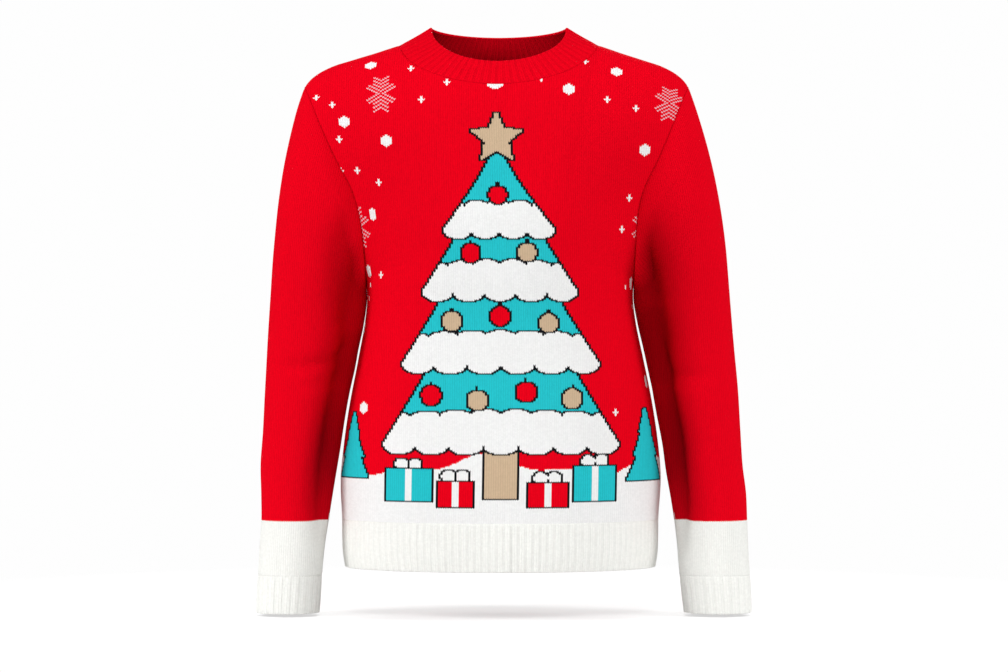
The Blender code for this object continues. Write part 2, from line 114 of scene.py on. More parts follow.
ARMHOLE = table(
    "height half_width",
    (-0.2720, 0.1628), (-0.2650, 0.1626), (-0.2296, 0.1642), (-0.1873, 0.1688),
    (-0.1596, 0.1765), (-0.1246, 0.1940), (-0.0810, 0.2135), (-0.0500, 0.2262),
    (-0.0332, 0.2342),
)
SHOULDER = table(
    "half_width height",
    (0.0000, 0.0460), (0.0600, 0.0370), (0.1208, 0.0176), (0.1366, 0.0124),
    (0.1500, 0.0079), (0.1659, 0.0030), (0.1800, -0.0014), (0.1983, -0.0072),
    (0.2100, -0.0125), (0.2178, -0.0170), (0.2260, -0.0234), (0.2306, -0.0284),
    (0.2342, -0.0332),
)

# How low the neckband's seam and its top edge lie, front and back
NECK_SEAM, NECK_EDGE = table(
    "half_width side_height front_drop back_drop front_bend back_bend",
    (0.1208, 0.0176, 0.0530, 0.0150, 0.590, 0.60),
    (0.0822, 0.0397, 0.0455, 0.0068, 0.500, 0.80),
)

# The garment hangs a little to one side at its shoulders
SWAY = table(
    "height shift",
    (-0.620, 0.0004), (-0.560, 0.0004), (-0.470, 0.0014), (-0.400, 0.0014),
    (-0.310, 0.0004), (-0.270, 0.0000), (-0.220, -0.0006), (-0.170, -0.0024),
    (-0.112, -0.0037), (-0.060, -0.0043), (-0.030, -0.0040), (-0.005, -0.0030),
    (0.018, -0.0012), (0.045, -0.0012),
)

# The rings of a sleeve and its cuff: their outer and inner ends, and half depth front to back
RINGS = table(
    "outer_height inner_height left_outer left_inner right_outer right_inner"
    " half_depth forward bow",
    (-0.0560, -0.2800, 0.2418, 0.1626, 0.2424, 0.1626, 0.0560, 0.0000, 0.010),
    (-0.0860, -0.2920, 0.2500, 0.1622, 0.2516, 0.1622, 0.0575, 0.0000, 0.004),
    (-0.1260, -0.3080, 0.2593, 0.1638, 0.2616, 0.1638, 0.0570, 0.0010, 0.000),
    (-0.1700, -0.3290, 0.2672, 0.1674, 0.2696, 0.1674, 0.0550, 0.0020, 0.000),
    (-0.2260, -0.3520, 0.2749, 0.1722, 0.2756, 0.1722, 0.0530, 0.0030, 0.000),
    (-0.2930, -0.3790, 0.2802, 0.1772, 0.2804, 0.1776, 0.0510, 0.0040, 0.000),
    (-0.3540, -0.4070, 0.2846, 0.1834, 0.2846, 0.1834, 0.0490, 0.0060, 0.000),
    (-0.4050, -0.4350, 0.2876, 0.1884, 0.2888, 0.1884, 0.0470, 0.0080, 0.000),
    (-0.4520, -0.4680, 0.2898, 0.1936, 0.2914, 0.1948, 0.0450, 0.0100, 0.000),
    (-0.4930, -0.5010, 0.2924, 0.1990, 0.2940, 0.1996, 0.0437, 0.0120, 0.000),
    (-0.5300, -0.5330, 0.2910, 0.2040, 0.2990, 0.2060, 0.0426, 0.0130, 0.000),
    (-0.5590, -0.5590, 0.2904, 0.2080, 0.3003, 0.2105, 0.0415, 0.0140, 0.000),
    (-0.5930, -0.5930, 0.2926, 0.2134, 0.3016, 0.2149, 0.0403, 0.0150, 0.000),
    (-0.6263, -0.6263, 0.2944, 0.2168, 0.3034, 0.2180, 0.0390, 0.0160, 0.000),
    (-0.6500, -0.6500, 0.2958, 0.2182, 0.3046, 0.2208, 0.0378, 0.0165, 0.000),
    (-0.6728, -0.6728, 0.2962, 0.2198, 0.3051, 0.2234, 0.0366, 0.0170, 0.000),
)
SLEEVE = RINGS[:-2]
CUFF = RINGS[-3:]

# Soft troughs in the cloth. Each fades out towards its start and its end, and on its
# way it lies at first, then middle, then last.
TROUGH = "where start end first middle last spread depth"

# Down a sleeve, with its side, between two heights and at angles that run round it from
# its outer line (0), over the front (90) and the inner line (180) to the back (270).
# The first ones are in the solids too.
FOLDS = table(
    TROUGH,
    (-1, -0.130, -0.340, 146, 110, 148, 17, 0.0060),
    (-1, -0.340, -0.555, 141, 130, 128, 19, 0.0064),
    (-1, -0.150, -0.390, 222, 246, 236, 18, 0.0060),
    (-1, -0.380, -0.560, 216, 226, 240, 18, 0.0050),
    (1, -0.120, -0.300, 158, 146, 152, 14, 0.0050),
    (1, -0.225, -0.400, 128, 124, 120, 15, 0.0045),
    (1, -0.340, -0.570, 148, 128, 146, 19, 0.0075),
    (1, -0.160, -0.360, 216, 240, 228, 17, 0.0060),
    (1, -0.350, -0.580, 224, 234, 244, 20, 0.0055),
)
# The cloth folds in more sharply than its solid, where a sleeve faces the body.
FINE_FOLDS = table(
    TROUGH,
    (-1, -0.150, -0.400, 154, 142, 154, 21, 0.0110),
    (-1, -0.330, -0.590, 154, 150, 144, 22, 0.0140),
    (-1, -0.150, -0.420, 216, 234, 226, 20, 0.0050),
    (-1, -0.360, -0.570, 226, 222, 230, 18, 0.0045),
    (1, -0.115, -0.400, 148, 139, 149, 25, 0.0165),
    (1, -0.300, -0.605, 152, 150, 150, 23, 0.0170),
    (1, -0.160, -0.400, 218, 232, 222, 20, 0.0050),
    (1, -0.360, -0.590, 228, 224, 232, 18, 0.0045),
)
# Small creases round a sleeve, between two angles and at heights
CREASES = table(
    TROUGH,
    (-1, 40, 164, -0.374, -0.371, -0.352, 0.009, 0.0040),
    (-1, 70, 176, -0.402, -0.391, -0.392, 0.009, 0.0014),
    (-1, 186, 300, -0.340, -0.357, -0.362, 0.011, 0.0022),
    (-1, 110, 178, -0.318, -0.320, -0.330, 0.008, 0.0013),
    (1, 60, 174, -0.384, -0.384, -0.372, 0.009, 0.0028),
    (1, 96, 178, -0.338, -0.340, -0.352, 0.008, 0.0012),
    (1, 188, 296, -0.350, -0.367, -0.372, 0.011, 0.0022),
    (1, 184, 268, -0.402, -0.395, -0.396, 0.008, 0.0014),
    (-1, 282, 356, -0.402, -0.385, -0.380, 0.010, 0.0022),
    (-1, 292, 354, -0.452, -0.450, -0.440, 0.010, 0.0014),
    (1, 284, 356, -0.386, -0.389, -0.404, 0.010, 0.0022),
    (1, 8, 62, -0.430, -0.432, -0.442, 0.010, 0.0014),
)
# Slow unevenness up the front (True) or the back (False) of the body, across from its middle
RIPPLES = table(
    TROUGH,
    (True, 0.100, 0.330, -0.2150, -0.205, -0.1950, 0.020, 0.0016),
    (True, 0.120, 0.340, 0.2160, 0.208, 0.2000, 0.022, 0.0016),
    (True, 0.300, 0.440, -0.1725, -0.150, -0.1275, 0.024, 0.0014),
    (True, 0.290, 0.430, 0.1770, 0.152, 0.1270, 0.022, 0.0013),
    (False, 0.060, 0.300, -0.1350, -0.120, -0.1050, 0.026, 0.0048),
    (False, 0.090, 0.330, 0.1120, 0.100, 0.0880, 0.028, 0.0050),
    (False, 0.150, 0.360, -0.0180, -0.010, -0.0020, 0.024, 0.0034),
    (False, 0.240, 0.420, -0.2000, -0.170, -0.1400, 0.022, 0.0042),
    (False, 0.230, 0.430, 0.2000, 0.172, 0.1440, 0.022, 0.0044),
)
FADE = 0.020            # how far from an edge the body's unevenness has its full depth
PAINTED_FOLD_SHADE = 0.58       # painted shade: how much darker the red knit is at the bottom of the deepest folds
FOLD_FULL = 0.0165      # the depth at which it is so
FOLD_BROAD = 2.0        # how much broader the painted shade is than the fold


# ---- Form of the body and sleeves, as in the solids ----


def ease(t):
    t = np.clip(t, 0.0, 1.0)
    return t * t * (3.0 - 2.0 * t)


def arch(t):
    """Height of a half circle, t running from -1 to 1."""
    return np.sqrt(np.clip(1.0 - t * t, 0.0, 1.0))


def crowded(count):
    """Places from -1 to 1, closer together towards both ends."""
    return np.sin(np.linspace(-0.5, 0.5, count) * math.pi)


def unit(v):
    return v / np.maximum(np.linalg.norm(v, axis=-1, keepdims=True), 1e-12)


def xyz(x, y, z):
    return np.stack(np.broadcast_arrays(x, y, z), axis=-1)


def steps(points):
    """Lengths of the steps from each point or row of points to the next."""
    return np.linalg.norm(np.diff(points, axis=0), axis=-1)


def run(lengths):
    """Distances from the start, over steps of these lengths."""
    return np.concatenate(([0.0], np.cumsum(lengths)))


def smooth(values, slope, i, step, t):
    """Between values i and i + 1, a step apart, with the given slopes: t runs from 0 to 1."""
    return (
        values[i] * (2 * t**3 - 3 * t**2 + 1)
        + values[i + 1] * (3 * t**2 - 2 * t**3)
        + slope[i] * step * (t**3 - 2 * t**2 + t)
        + slope[i + 1] * step * (t**3 - t**2)
    )


def through(rows, value, at, key="height"):
    """A smooth curve through one column of a table, against another column."""
    keys = np.array([getattr(row, key) for row in rows])
    values = np.array([getattr(row, value) for row in rows])
    order = np.argsort(keys)
    keys = keys[order]
    values = values[order]
    rise = np.diff(values) / np.diff(keys)
    slope = np.concatenate((rise[:1], (rise[1:] + rise[:-1]) / 2.0, rise[-1:]))
    turning = np.concatenate(([False], rise[1:] * rise[:-1] <= 0.0, [False]))
    slope[turning] = 0.0
    at = np.clip(np.asarray(at, dtype=float), keys[0], keys[-1])
    i = np.clip(np.searchsorted(keys, at) - 1, 0, len(keys) - 2)
    step = keys[i + 1] - keys[i]
    return smooth(values, slope, i, step, (at - keys[i]) / step)


def swayed(points):
    """The points moved sideways as the garment hangs."""
    out = np.array(points, dtype=float)
    out[..., 0] += through(SWAY, "shift", out[..., 2])
    return out


def ridge(x):
    """Height of the shoulder line."""
    return through(SHOULDER, "height", np.abs(x), key="half_width")


def neck_height(row, x, front):
    """Height of a neck line at x, on the front or the back."""
    part = np.clip(1.0 - (np.abs(x) / row.half_width) ** 2, 0.0, 1.0)
    drop = row.front_drop if front else row.back_drop
    bend = row.front_bend if front else row.back_bend
    return row.side_height - drop * part**bend


def body_depth(z, front):
    return through(BODY, "front_depth" if front else "back_depth", z)


def edge_curve(v, front):
    """The side seam (v from 0 to 1) and then the armhole (v from 1 to 2) of a panel."""
    v = np.asarray(v, dtype=float)
    side_height = HEM_TOP + (UNDERARM - HEM_TOP) * np.clip(v, 0.0, 1.0)
    turn = math.pi * (2.0 - np.clip(v, 1.0, 2.0))
    middle = (SHOULDER_POINT + UNDERARM) / 2.0
    reach = (SHOULDER_POINT - UNDERARM) / 2.0
    arm_height = middle + reach * np.cos(turn)
    height = np.where(v <= 1.0, side_height, arm_height)
    side_half = through(BODY, "half_width", side_height)
    half = np.where(v <= 1.0, side_half, through(ARMHOLE, "half_width", arm_height))
    depth = np.where(v <= 1.0, 0.0, ARMHOLE_SWING[front] * np.sin(turn))
    return half, depth, height


def below_ridge(x, z, front):
    """How far down a panel's rounding to the shoulder seam a place lies, from 0 to 1."""
    return np.clip((ridge(x) - z) / OVER_SHOULDER[front], 0.0, 1.0)


def over_shoulder(x, z, front):
    """The share of its depth that a panel keeps as it rounds over to the shoulder seam."""
    return arch(1.0 - below_ridge(x, z, front))


def row_form(z):
    """How square and how flat the garment's section is at a height."""
    chest = ease((z - CHEST_START) / CHEST_SPAN)
    return 2.0 + CHEST_SQUARE * chest, 0.5 + CHEST_FLAT * chest


def section(u, z, edge_depth, edge_height, front):
    """A row's full depth, and the share of it kept at u.

    The row is part of a wider one, which the armhole cuts off at its own depth.
    """
    square, flat = row_form(edge_height)
    level = np.minimum(edge_height, SHOULDER_POINT - TINY)
    full = body_depth(level, front) * over_shoulder(SHOULDER_HALF, level, front)
    ratio = np.clip(edge_depth / full, 0.0, ARMHOLE_SHARE)
    reach = (1.0 - ratio ** (1.0 / flat)) ** (1.0 / square)
    square, flat = row_form(z)
    return full, np.clip(1.0 - (np.abs(u) * reach) ** square, 0.0, 1.0) ** flat


def panel_points(u, v, front):
    """Outer points of a body panel. u runs from side to side (-1 to 1), v up (0 to 2)."""
    half, edge_depth, edge_height = edge_curve(v, front)
    top_x = u * SHOULDER_HALF
    neck = neck_height(NECK_SEAM, top_x, front)
    top = np.where(np.abs(top_x) < NECK_HALF, neck, ridge(top_x))
    part = (edge_height - HEM_TOP) / (SHOULDER_POINT - HEM_TOP)
    z = HEM_TOP + (top - HEM_TOP) * part
    kept = section(u, z, edge_depth, edge_height, front)[1]
    y = body_depth(z, front) * over_shoulder(top_x, z, front) * kept
    return xyz(u * half, -y if front else y, z)


def onward(points, axis, closed):
    """Steps across each point of a line or grid, from the one before it to the one after."""
    if closed:
        return np.roll(points, -1, axis=axis) - np.roll(points, 1, axis=axis)
    return np.gradient(points, axis=axis)


def grid_normals(points, closed):
    """The cross product of a grid's steps along its rows and up its columns."""
    return unit(np.cross(onward(points, 1, closed), onward(points, 0, False)))


def sleeve_ring(row, turn, side):
    """Outer points of one ring of a sleeve, at angles from its outer line."""
    outer_x = row.left_outer if side < 0 else row.right_outer
    inner_x = row.left_inner if side < 0 else row.right_inner
    outer = np.array((outer_x, -row.forward, row.outer_height))
    inner = np.array((inner_x, -row.forward, row.inner_height))
    deep = np.array((0.0, -row.half_depth, 0.0))
    half = (outer - inner) / 2.0
    points = (outer + inner) / 2.0 + np.cos(turn)[:, None] * half + np.sin(turn)[:, None] * deep
    points[:, 0] -= row.bow * np.sin(turn) ** 2
    points[:, 0] *= side
    return points


def pressed_in(troughs, where, along, across, fade=0.8):
    """How far the troughs of a table press the cloth in, at places along and across them."""
    total = 0.0
    for trough in troughs:
        if trough.where == where:
            t = np.clip((along - trough.start) / (trough.end - trough.start), 0.0, 1.0)
            bend = trough.middle - (trough.first + trough.last) / 2.0
            lies = trough.first + (trough.last - trough.first) * t + 4.0 * bend * t * (1.0 - t)
            aside = (across - lies) / trough.spread
            total = total + trough.depth * np.sin(math.pi * t) ** fade * np.exp(-(aside**2))
    return total


def rolled_in(distance):
    """The share of its roll that cloth has at a distance from its edge."""
    return np.clip(1.0 - np.clip(distance, 0.0, None) / ROLL_WIDTH, 0.0, 1.0) ** 2


def follow(points, count, closed):
    """Points at even steps along a polyline."""
    line = np.concatenate((points, points[:1])) if closed else points
    length = run(steps(line))
    at = np.arange(count if closed else count + 1) * length[-1] / count
    return np.stack([np.interp(at, length, line[:, i]) for i in range(3)], axis=-1)


def band_edge(part, front):
    """Top edge of the neckband, part running from the left neck point to the right."""
    angle = math.pi * part
    x = -NECK_EDGE.half_width * np.cos(angle)
    y = NECK_EDGE_REACH[front] * np.sin(angle)
    return xyz(x, -y if front else y, neck_height(NECK_EDGE, x, front))


def even_parts(front, count):
    """Parts from 0 to 1 that step evenly along the top edge of the neckband."""
    fine = np.linspace(0.0, 1.0, BAND_SAMPLES)
    length = run(steps(band_edge(fine, front)))
    return np.interp(np.arange(count + 1) * length[-1] / count, length, fine)


# ---- The camera, from which the small motifs on the front are placed too ----

CAMERA = (0.005, -4.2, -0.337)
LENS = 122.9
SENSOR = 36.0


def seen(points):
    """Where points appear from the camera, on the plane y = 0."""
    scale = -CAMERA[1] / (points[..., 1] - CAMERA[1])
    x = CAMERA[0] + (points[..., 0] - CAMERA[0]) * scale
    z = CAMERA[2] + (points[..., 2] - CAMERA[2]) * scale
    return np.stack((x, z), axis=-1)


# ---- Meshes ----


def place(ob):
    bpy.context.scene.collection.objects.link(ob)
    return ob


class Sheet:
    """A mesh in the making: grids of points, each with a grid of stitch coordinates."""

    def __init__(self):
        self.points = []
        self.faces = []
        self.uv = []
        self.index = []
        self.count = 0

    def grid(self, points, uv, closed=False, looped=False, flip=False, index=0):
        """Adds a grid. Closed: its columns meet. Looped: its rows do. UVs have one more there."""
        rows, columns = points.shape[:2]
        spans = (rows if looped else rows - 1, columns if closed else columns - 1)
        i, j = (k.ravel() for k in np.indices(spans))
        corners = [(i, j), (i, j + 1), (i + 1, j + 1), (i + 1, j)]
        if flip:
            corners.reverse()
        faces = [self.count + a % rows * columns + b % columns for a, b in corners]
        self.faces += np.stack(faces, axis=1).tolist()
        self.uv.append(np.stack([uv[a, b] for a, b in corners], axis=1).reshape(-1, 2))
        self.index += np.broadcast_to(np.reshape(index, (-1, 1)), spans).ravel().tolist()
        self.points.append(points.reshape(-1, 3))
        self.count += rows * columns

    def loose(self, points, faces, uv):
        """Adds faces of any number of corners, with stitch coordinates for each point."""
        self.faces += [[self.count + v for v in face] for face in faces]
        self.uv.append(uv[np.concatenate([np.asarray(face) for face in faces])])
        self.points.append(points)
        self.index += [0] * len(faces)
        self.count += len(points)

    def build(self, name, materials, sway=True):
        """The object, hanging as the garment does unless it is no part of it."""
        points = np.concatenate(self.points)
        mesh = bpy.data.meshes.new(name)
        mesh.from_pydata((swayed(points) if sway else points).tolist(), [], self.faces)
        uv = mesh.uv_layers.new(name="stitches")
        uv.data.foreach_set("uv", np.concatenate(self.uv).astype("f").ravel())
        for material in materials:
            mesh.materials.append(material)
        mesh.polygons.foreach_set("material_index", np.asarray(self.index, "i"))
        mesh.shade_smooth()
        mesh.update()
        return place(bpy.data.objects.new(name, mesh))


# ---- Body panels, stitch by stitch ----

Chart = namedtuple("Chart", "u v across up")
WALES_FOLLOW = 0.8      # how closely wales are spaced where the body turns to its sides
SHOULDER_TURN = 0.085   # how far the cloth comes back as it rounds over the shoulder
CHART_HALF = 180        # samples of a chart from its middle to a side
CHART_SIDE = 201        # samples of it up the side seam
CHART_ARMHOLE = 401     # and round the armhole
TURN_SAMPLES = 200      # samples of the rounding over the shoulder
INNER_GRID = 61         # rows and columns of the plain inner layer
NORMAL_STEP = 0.002     # between the points from which a normal is taken
CORNERS = ((0, 0), (0, 1), (1, 1), (1, 0))    # of a stitch, as rows and wales


def panel_chart(front):
    """Dense samples of a panel, with how far across and how far up each lies on the cloth."""
    u = crowded(2 * CHART_HALF + 1)
    side = np.linspace(0.0, 1.0, CHART_SIDE)
    v = np.concatenate((side, np.linspace(1.0, 2.0, CHART_ARMHOLE)[1:]))
    uu, vv = np.meshgrid(u, v)
    # Wales are counted along level sections, so rows that turn up don't crowd them
    half, edge_depth, edge_height = edge_curve(vv, front)
    full, kept = section(uu, edge_height, edge_depth, edge_height, front)
    width = np.hypot(np.diff(uu * half, axis=1), np.diff(full * kept * WALES_FOLLOW, axis=1))
    across = np.stack([run(row) for row in width])
    across -= across[:, CHART_HALF:CHART_HALF + 1]
    return Chart(u, v, across, cloth_height(panel_points(uu, vv, front), front))


def cloth_height(points, front):
    """Height up the cloth: more than plain height where it rounds over to the shoulder."""
    t = np.linspace(1.0, 0.0, TURN_SAMPLES)
    depth = SHOULDER_TURN * arch(1.0 - t)
    step = OVER_SHOULDER[front] * np.diff(t)
    extra = run(np.hypot(np.diff(depth), step) + step)
    part = below_ridge(points[..., 0], points[..., 2], front)
    return points[..., 2] - HEM_TOP + np.interp(part, t[::-1], extra[::-1])


def panel_at(u, v, front):
    """Points of a panel and its outward normals."""
    low, high = (np.clip(u + e, -1.0, 1.0) for e in (-NORMAL_STEP, NORMAL_STEP))
    across = panel_points(high, v, front) - panel_points(low, v, front)
    low, high = (np.clip(v + e, 0.0, 2.0) for e in (-NORMAL_STEP, NORMAL_STEP))
    along = panel_points(u, high, front) - panel_points(u, low, front)
    normals = unit(np.cross(across, along)) * (1.0 if front else -1.0)
    return panel_points(u, v, front), normals


class Panel:
    """The stitch grid of a panel, cut out along its sides, armholes, shoulders and neck."""

    def __init__(self, front):
        self.front = front
        chart = self.chart = panel_chart(front)
        reach = int(chart.across.max() / WALE) + 2
        at = np.arange(-reach, reach + 1) * WALE
        height = np.arange(int(chart.up.max() / ROW) + 3) * ROW
        u_of = np.stack([np.interp(at, row, chart.u) for row in chart.across])
        r_of = cloth_height(panel_points(u_of, chart.v[:, None], front), front)
        wales = range(len(at))
        self.v = np.stack([np.interp(height, r_of[:, i], chart.v) for i in wales], axis=1)
        self.u = np.stack([np.interp(self.v[:, i], chart.v, u_of[:, i]) for i in wales], axis=1)
        self.w, self.r = np.meshgrid(at, height)
        self.side, self.top = self.margins(self.w, self.r)
        self.inside = np.minimum(self.side, self.top) >= 0.0

    def margins(self, w, r):
        """How many stitches a place lies inside the side edge and the top edge."""
        return (self.side_edge(r) - np.abs(w)) / WALE, (self.top_edge(w) - r) / ROW

    def side_edge(self, r):
        return np.interp(r, self.chart.up[:, -1], self.chart.across[:, -1])

    def top_edge(self, w):
        half = slice(CHART_HALF, None)
        return np.interp(np.abs(w), self.chart.across[-1, half], self.chart.up[-1, half])

    def crossing(self, a, b):
        """Where a grid line from a point inside to one outside meets the panel's edge."""
        chart = self.chart
        depth = np.minimum(self.side, self.top)
        t = depth[a] / (depth[a] - depth[b])
        w = self.w[a] + (self.w[b] - self.w[a]) * t
        r = self.r[a] + (self.r[b] - self.r[a]) * t
        if self.side[b] < self.top[b]:
            u = 1.0 if w > 0 else -1.0
            if a[0] == b[0]:
                w = u * self.side_edge(r)
            return u, np.interp(r, chart.up[:, -1], chart.v), w, r
        if a[1] == b[1]:
            r = self.top_edge(w)
        return np.interp(w, chart.across[-1], chart.u), 2.0, w, r

    def cut(self):
        """Points, faces and cells of the panel: whole stitches, and cut ones at its edges."""
        inside = self.inside
        keep = np.full(inside.shape, -1)
        keep[inside] = np.arange(inside.sum())
        places = np.stack((self.u, self.v, self.w, self.r), axis=-1)[inside]
        extra = []
        known = {}

        def edge(a, b):
            key = (a, b) if a < b else (b, a)
            if key not in known:
                known[key] = len(places) + len(extra)
                extra.append(self.crossing(a, b) if inside[a] else self.crossing(b, a))
            return known[key]

        four = [inside[a:len(inside) - 1 + a, b:inside.shape[1] - 1 + b] for a, b in CORNERS]
        whole = np.logical_and.reduce(four)
        row, column = np.nonzero(whole)
        faces = np.stack([keep[row + a, column + b] for a, b in CORNERS], axis=1).tolist()
        cells = np.stack((row, column), axis=1).tolist()
        for row, column in zip(*np.nonzero(np.logical_or.reduce(four) & ~whole)):
            loop = [(row + a, column + b) for a, b in CORNERS]
            face = []
            for a, b in zip(loop, loop[1:] + loop[:1]):
                if inside[a]:
                    face.append(int(keep[a]))
                if inside[a] != inside[b]:
                    face.append(edge(a, b))
            if len(face) > 2:
                faces.append(face)
                cells.append([row, column])
        return np.concatenate((places, np.array(extra))), faces, np.array(cells)

    def ripples(self, w, r):
        """How far the slow troughs press the panel in, fading out towards its edges."""
        side, top = self.margins(w, r)
        edge = np.clip(np.minimum(side * WALE, top * ROW), 0.0, None)
        return pressed_in(RIPPLES, self.front, r, w, fade=2) * ease(edge / FADE)

    def roll(self, v, w, r):
        """How far the edges roll in towards their seams."""
        side, top = self.margins(w, r)
        side = side * WALE
        top = top * ROW
        depth = np.where(v < 1.0, SIDE_ROLL, ROLL)
        depth = np.where((top < side) & (np.abs(w) < NECK_HALF), NECK_ROLL, depth)
        return depth * rolled_in(np.minimum(side, top))

    def inner_layer(self):
        """A plain grid of points inside the cloth, and its stitch coordinates."""
        chart = self.chart
        u = crowded(INNER_GRID)
        v = np.linspace(0.0, 2.0, INNER_GRID)
        points, normals = panel_at(*np.meshgrid(u, v), self.front)
        rows = np.searchsorted(chart.v, v).clip(0, len(chart.v) - 1)
        w = np.stack([np.interp(u, chart.u, chart.across[k]) for k in rows])
        columns = np.searchsorted(chart.u, u).clip(0, len(chart.u) - 1)
        r = np.stack([np.interp(v, chart.v, chart.up[:, k]) for k in columns], axis=1)
        points = points - normals * (CLOTH + self.ripples(w, r))[..., None]
        return points, np.stack((w / WALE, r / ROW), axis=-1)


def panel_piece(name, materials, front):
    """A body panel: one face for each stitch outside, and a plain layer inside."""
    panel = Panel(front)
    places, faces, cells = panel.cut()
    u, v, w, r = places.T
    points, normals = panel_at(u, v, front)
    points = points - normals * (panel.roll(v, w, r) + panel.ripples(w, r))[:, None]
    if not front:
        faces = [face[::-1] for face in faces]
    sheet = Sheet()
    sheet.loose(points, faces, np.stack((w / WALE, r / ROW), axis=-1))
    sheet.grid(*panel.inner_layer(), flip=front, index=1)
    ob = sheet.build(name, materials)
    # The yarn of each stitch, with those above and below it
    yarn = panel_yarns(panel)
    row, column = cells.T
    above = yarn[np.minimum(row + 1, len(yarn) - 1), column]
    below = yarn[np.maximum(row - 1, 0), column]
    stitches = np.zeros((len(ob.data.loops), 3), "f")
    sizes = [len(face) for face in faces]
    found = np.repeat(np.stack((yarn[row, column], above, below), axis=1), sizes, axis=0)
    stitches[:len(found)] = found
    yarns = ob.data.attributes.new("yarn", "FLOAT_VECTOR", "CORNER")
    yarns.data.foreach_set("vector", stitches.ravel())
    return ob


# ---- The chart: which yarn each stitch of a panel has ----

RED, WHITE, TEAL, BLACK, TAN, LONE = range(6)
YARNS = (
    (0.820, 0.0006, 0.0105),
    (0.860, 0.862, 0.858),
    (0.022, 0.560, 0.620),
    (0.0085, 0.0090, 0.0110),
    (0.620, 0.455, 0.300),
    (0.820, 0.480, 0.540),     # white, as lone stitches that sink in between red ones
)
# Painted shade: how much darker each yarn is between its stitches
SHADES = (0.20, 0.08, 0.26, 0.40, 0.22, 0.20)
OFF_WHITE = (0.890, 0.895, 0.858)

BALL = 0.0070           # radius
SLIM = 1.5              # how much narrower a ball is at the sides
HALF_BALL = 0.75        # below 1, the half hidden ball is wider than the others
HALF_BALL_UP = 0.0042   # how far up its middle lies, behind the seam
FLAKE_ARM = 6           # wales from the middle of a snowflake to its side points
FLAKE_FAN = 3           # and to the points at its top and bottom
FLAKE_FANS = (5, 8, 11)    # rows from the middle to each V above and below
GROUND = {True: 0.068, False: 0.062}    # mean height of the snow on the front and the back

# The low soft hills of its top edge: their height, how close they lie and how they start
HILLS = table("height turns start", (0.010, 26.0, 0.5), (0.005, 61.0, 1.2))


def ball(w, r):
    """A snowball, five stitches wide."""
    return np.hypot(w, r) < BALL


def slim_ball(w, r):
    """A ball at a side, where the knit is drawn narrower."""
    return ball(w * SLIM, r)


def half_ball(w, r):
    """A ball that is mostly hidden by the seam above it."""
    return ball(w * HALF_BALL, r - HALF_BALL_UP)


def star(w, r):
    """A small cross of stitches."""
    wales = np.abs(w / WALE)
    rows = np.abs(r / ROW)
    return ((wales < 0.5) & (rows < 2.6)) | ((wales < 1.5) & (rows < 0.9))


def dot(w, r):
    return (np.abs(w / WALE) < 0.6) & (np.abs(r / ROW) < 1.1)


def flake(w, r):
    """An eight-pointed snowflake: four double arms that cross, and nested Vs up and down."""
    wales = np.round(np.abs(w / WALE)).astype(int)
    rows = np.round(np.abs(r / ROW)).astype(int)
    upper = (rows - wales == 2) & (wales < FLAKE_ARM)
    lower = (rows - wales == -1) & (wales <= FLAKE_ARM)
    fans = np.isin(rows - wales, FLAKE_FANS) & (wales <= FLAKE_FAN)
    return upper | lower | fans


# Small snow motifs. Those on the front are placed as the camera sees them, by x and z,
# and those on the back as they lie on the cloth, across from the middle and up.
SNOW = {
    True: (
        (ball, (-0.1586, -0.0061), (0.0830, -0.0354), (0.1415, -0.0139), (-0.1891, -0.0756),
         (-0.1397, -0.0988), (0.1781, -0.1098), (-0.1659, -0.4240)),
        (half_ball, (-0.0055, -0.0330)),
        (slim_ball, (-0.1562, -0.1891), (-0.1598, -0.2586), (0.1604, -0.2721),
         (-0.1659, -0.3270), (0.1787, -0.3916)),
        (star, (-0.1098, -0.0105), (-0.0647, -0.0264), (-0.0964, -0.0476), (-0.2233, -0.0464),
         (-0.2050, -0.0549), (-0.1952, -0.0964), (-0.1952, -0.1366), (-0.1745, -0.1354),
         (-0.1476, -0.1488), (-0.1452, -0.2629), (0.1049, -0.0018), (0.1318, -0.0488),
         (0.1665, -0.0598), (0.1580, -0.1690), (0.1501, -0.2069), (0.1403, -0.4307)),
        (dot, (-0.1586, -0.2751), (-0.1598, -0.2916), (0.0506, -0.0228), (0.1537, -0.2782),
         (0.1623, -0.3008)),
        (flake, (-0.1452, -0.0415), (0.2080, -0.0531), (-0.1755, -0.2050), (0.1775, -0.2050)),
    ),
    False: (
        (flake, (-0.135, 0.520), (0.128, 0.505), (0.010, 0.330), (-0.170, 0.250),
         (0.178, 0.225), (-0.060, 0.150)),
        (ball, (-0.060, 0.545), (0.045, 0.500), (-0.190, 0.450), (-0.095, 0.400),
         (0.095, 0.410), (0.190, 0.440), (-0.120, 0.300), (0.130, 0.310), (-0.020, 0.225),
         (0.085, 0.190), (-0.205, 0.155), (0.215, 0.130), (0.050, 0.095)),
        (star, (0.000, 0.560), (0.085, 0.565), (-0.020, 0.460), (-0.150, 0.350),
         (0.160, 0.370), (0.045, 0.380), (-0.050, 0.370), (-0.075, 0.245), (0.060, 0.265),
         (0.120, 0.140), (-0.130, 0.110), (-0.010, 0.110), (0.165, 0.560), (-0.180, 0.545)),
    ),
}

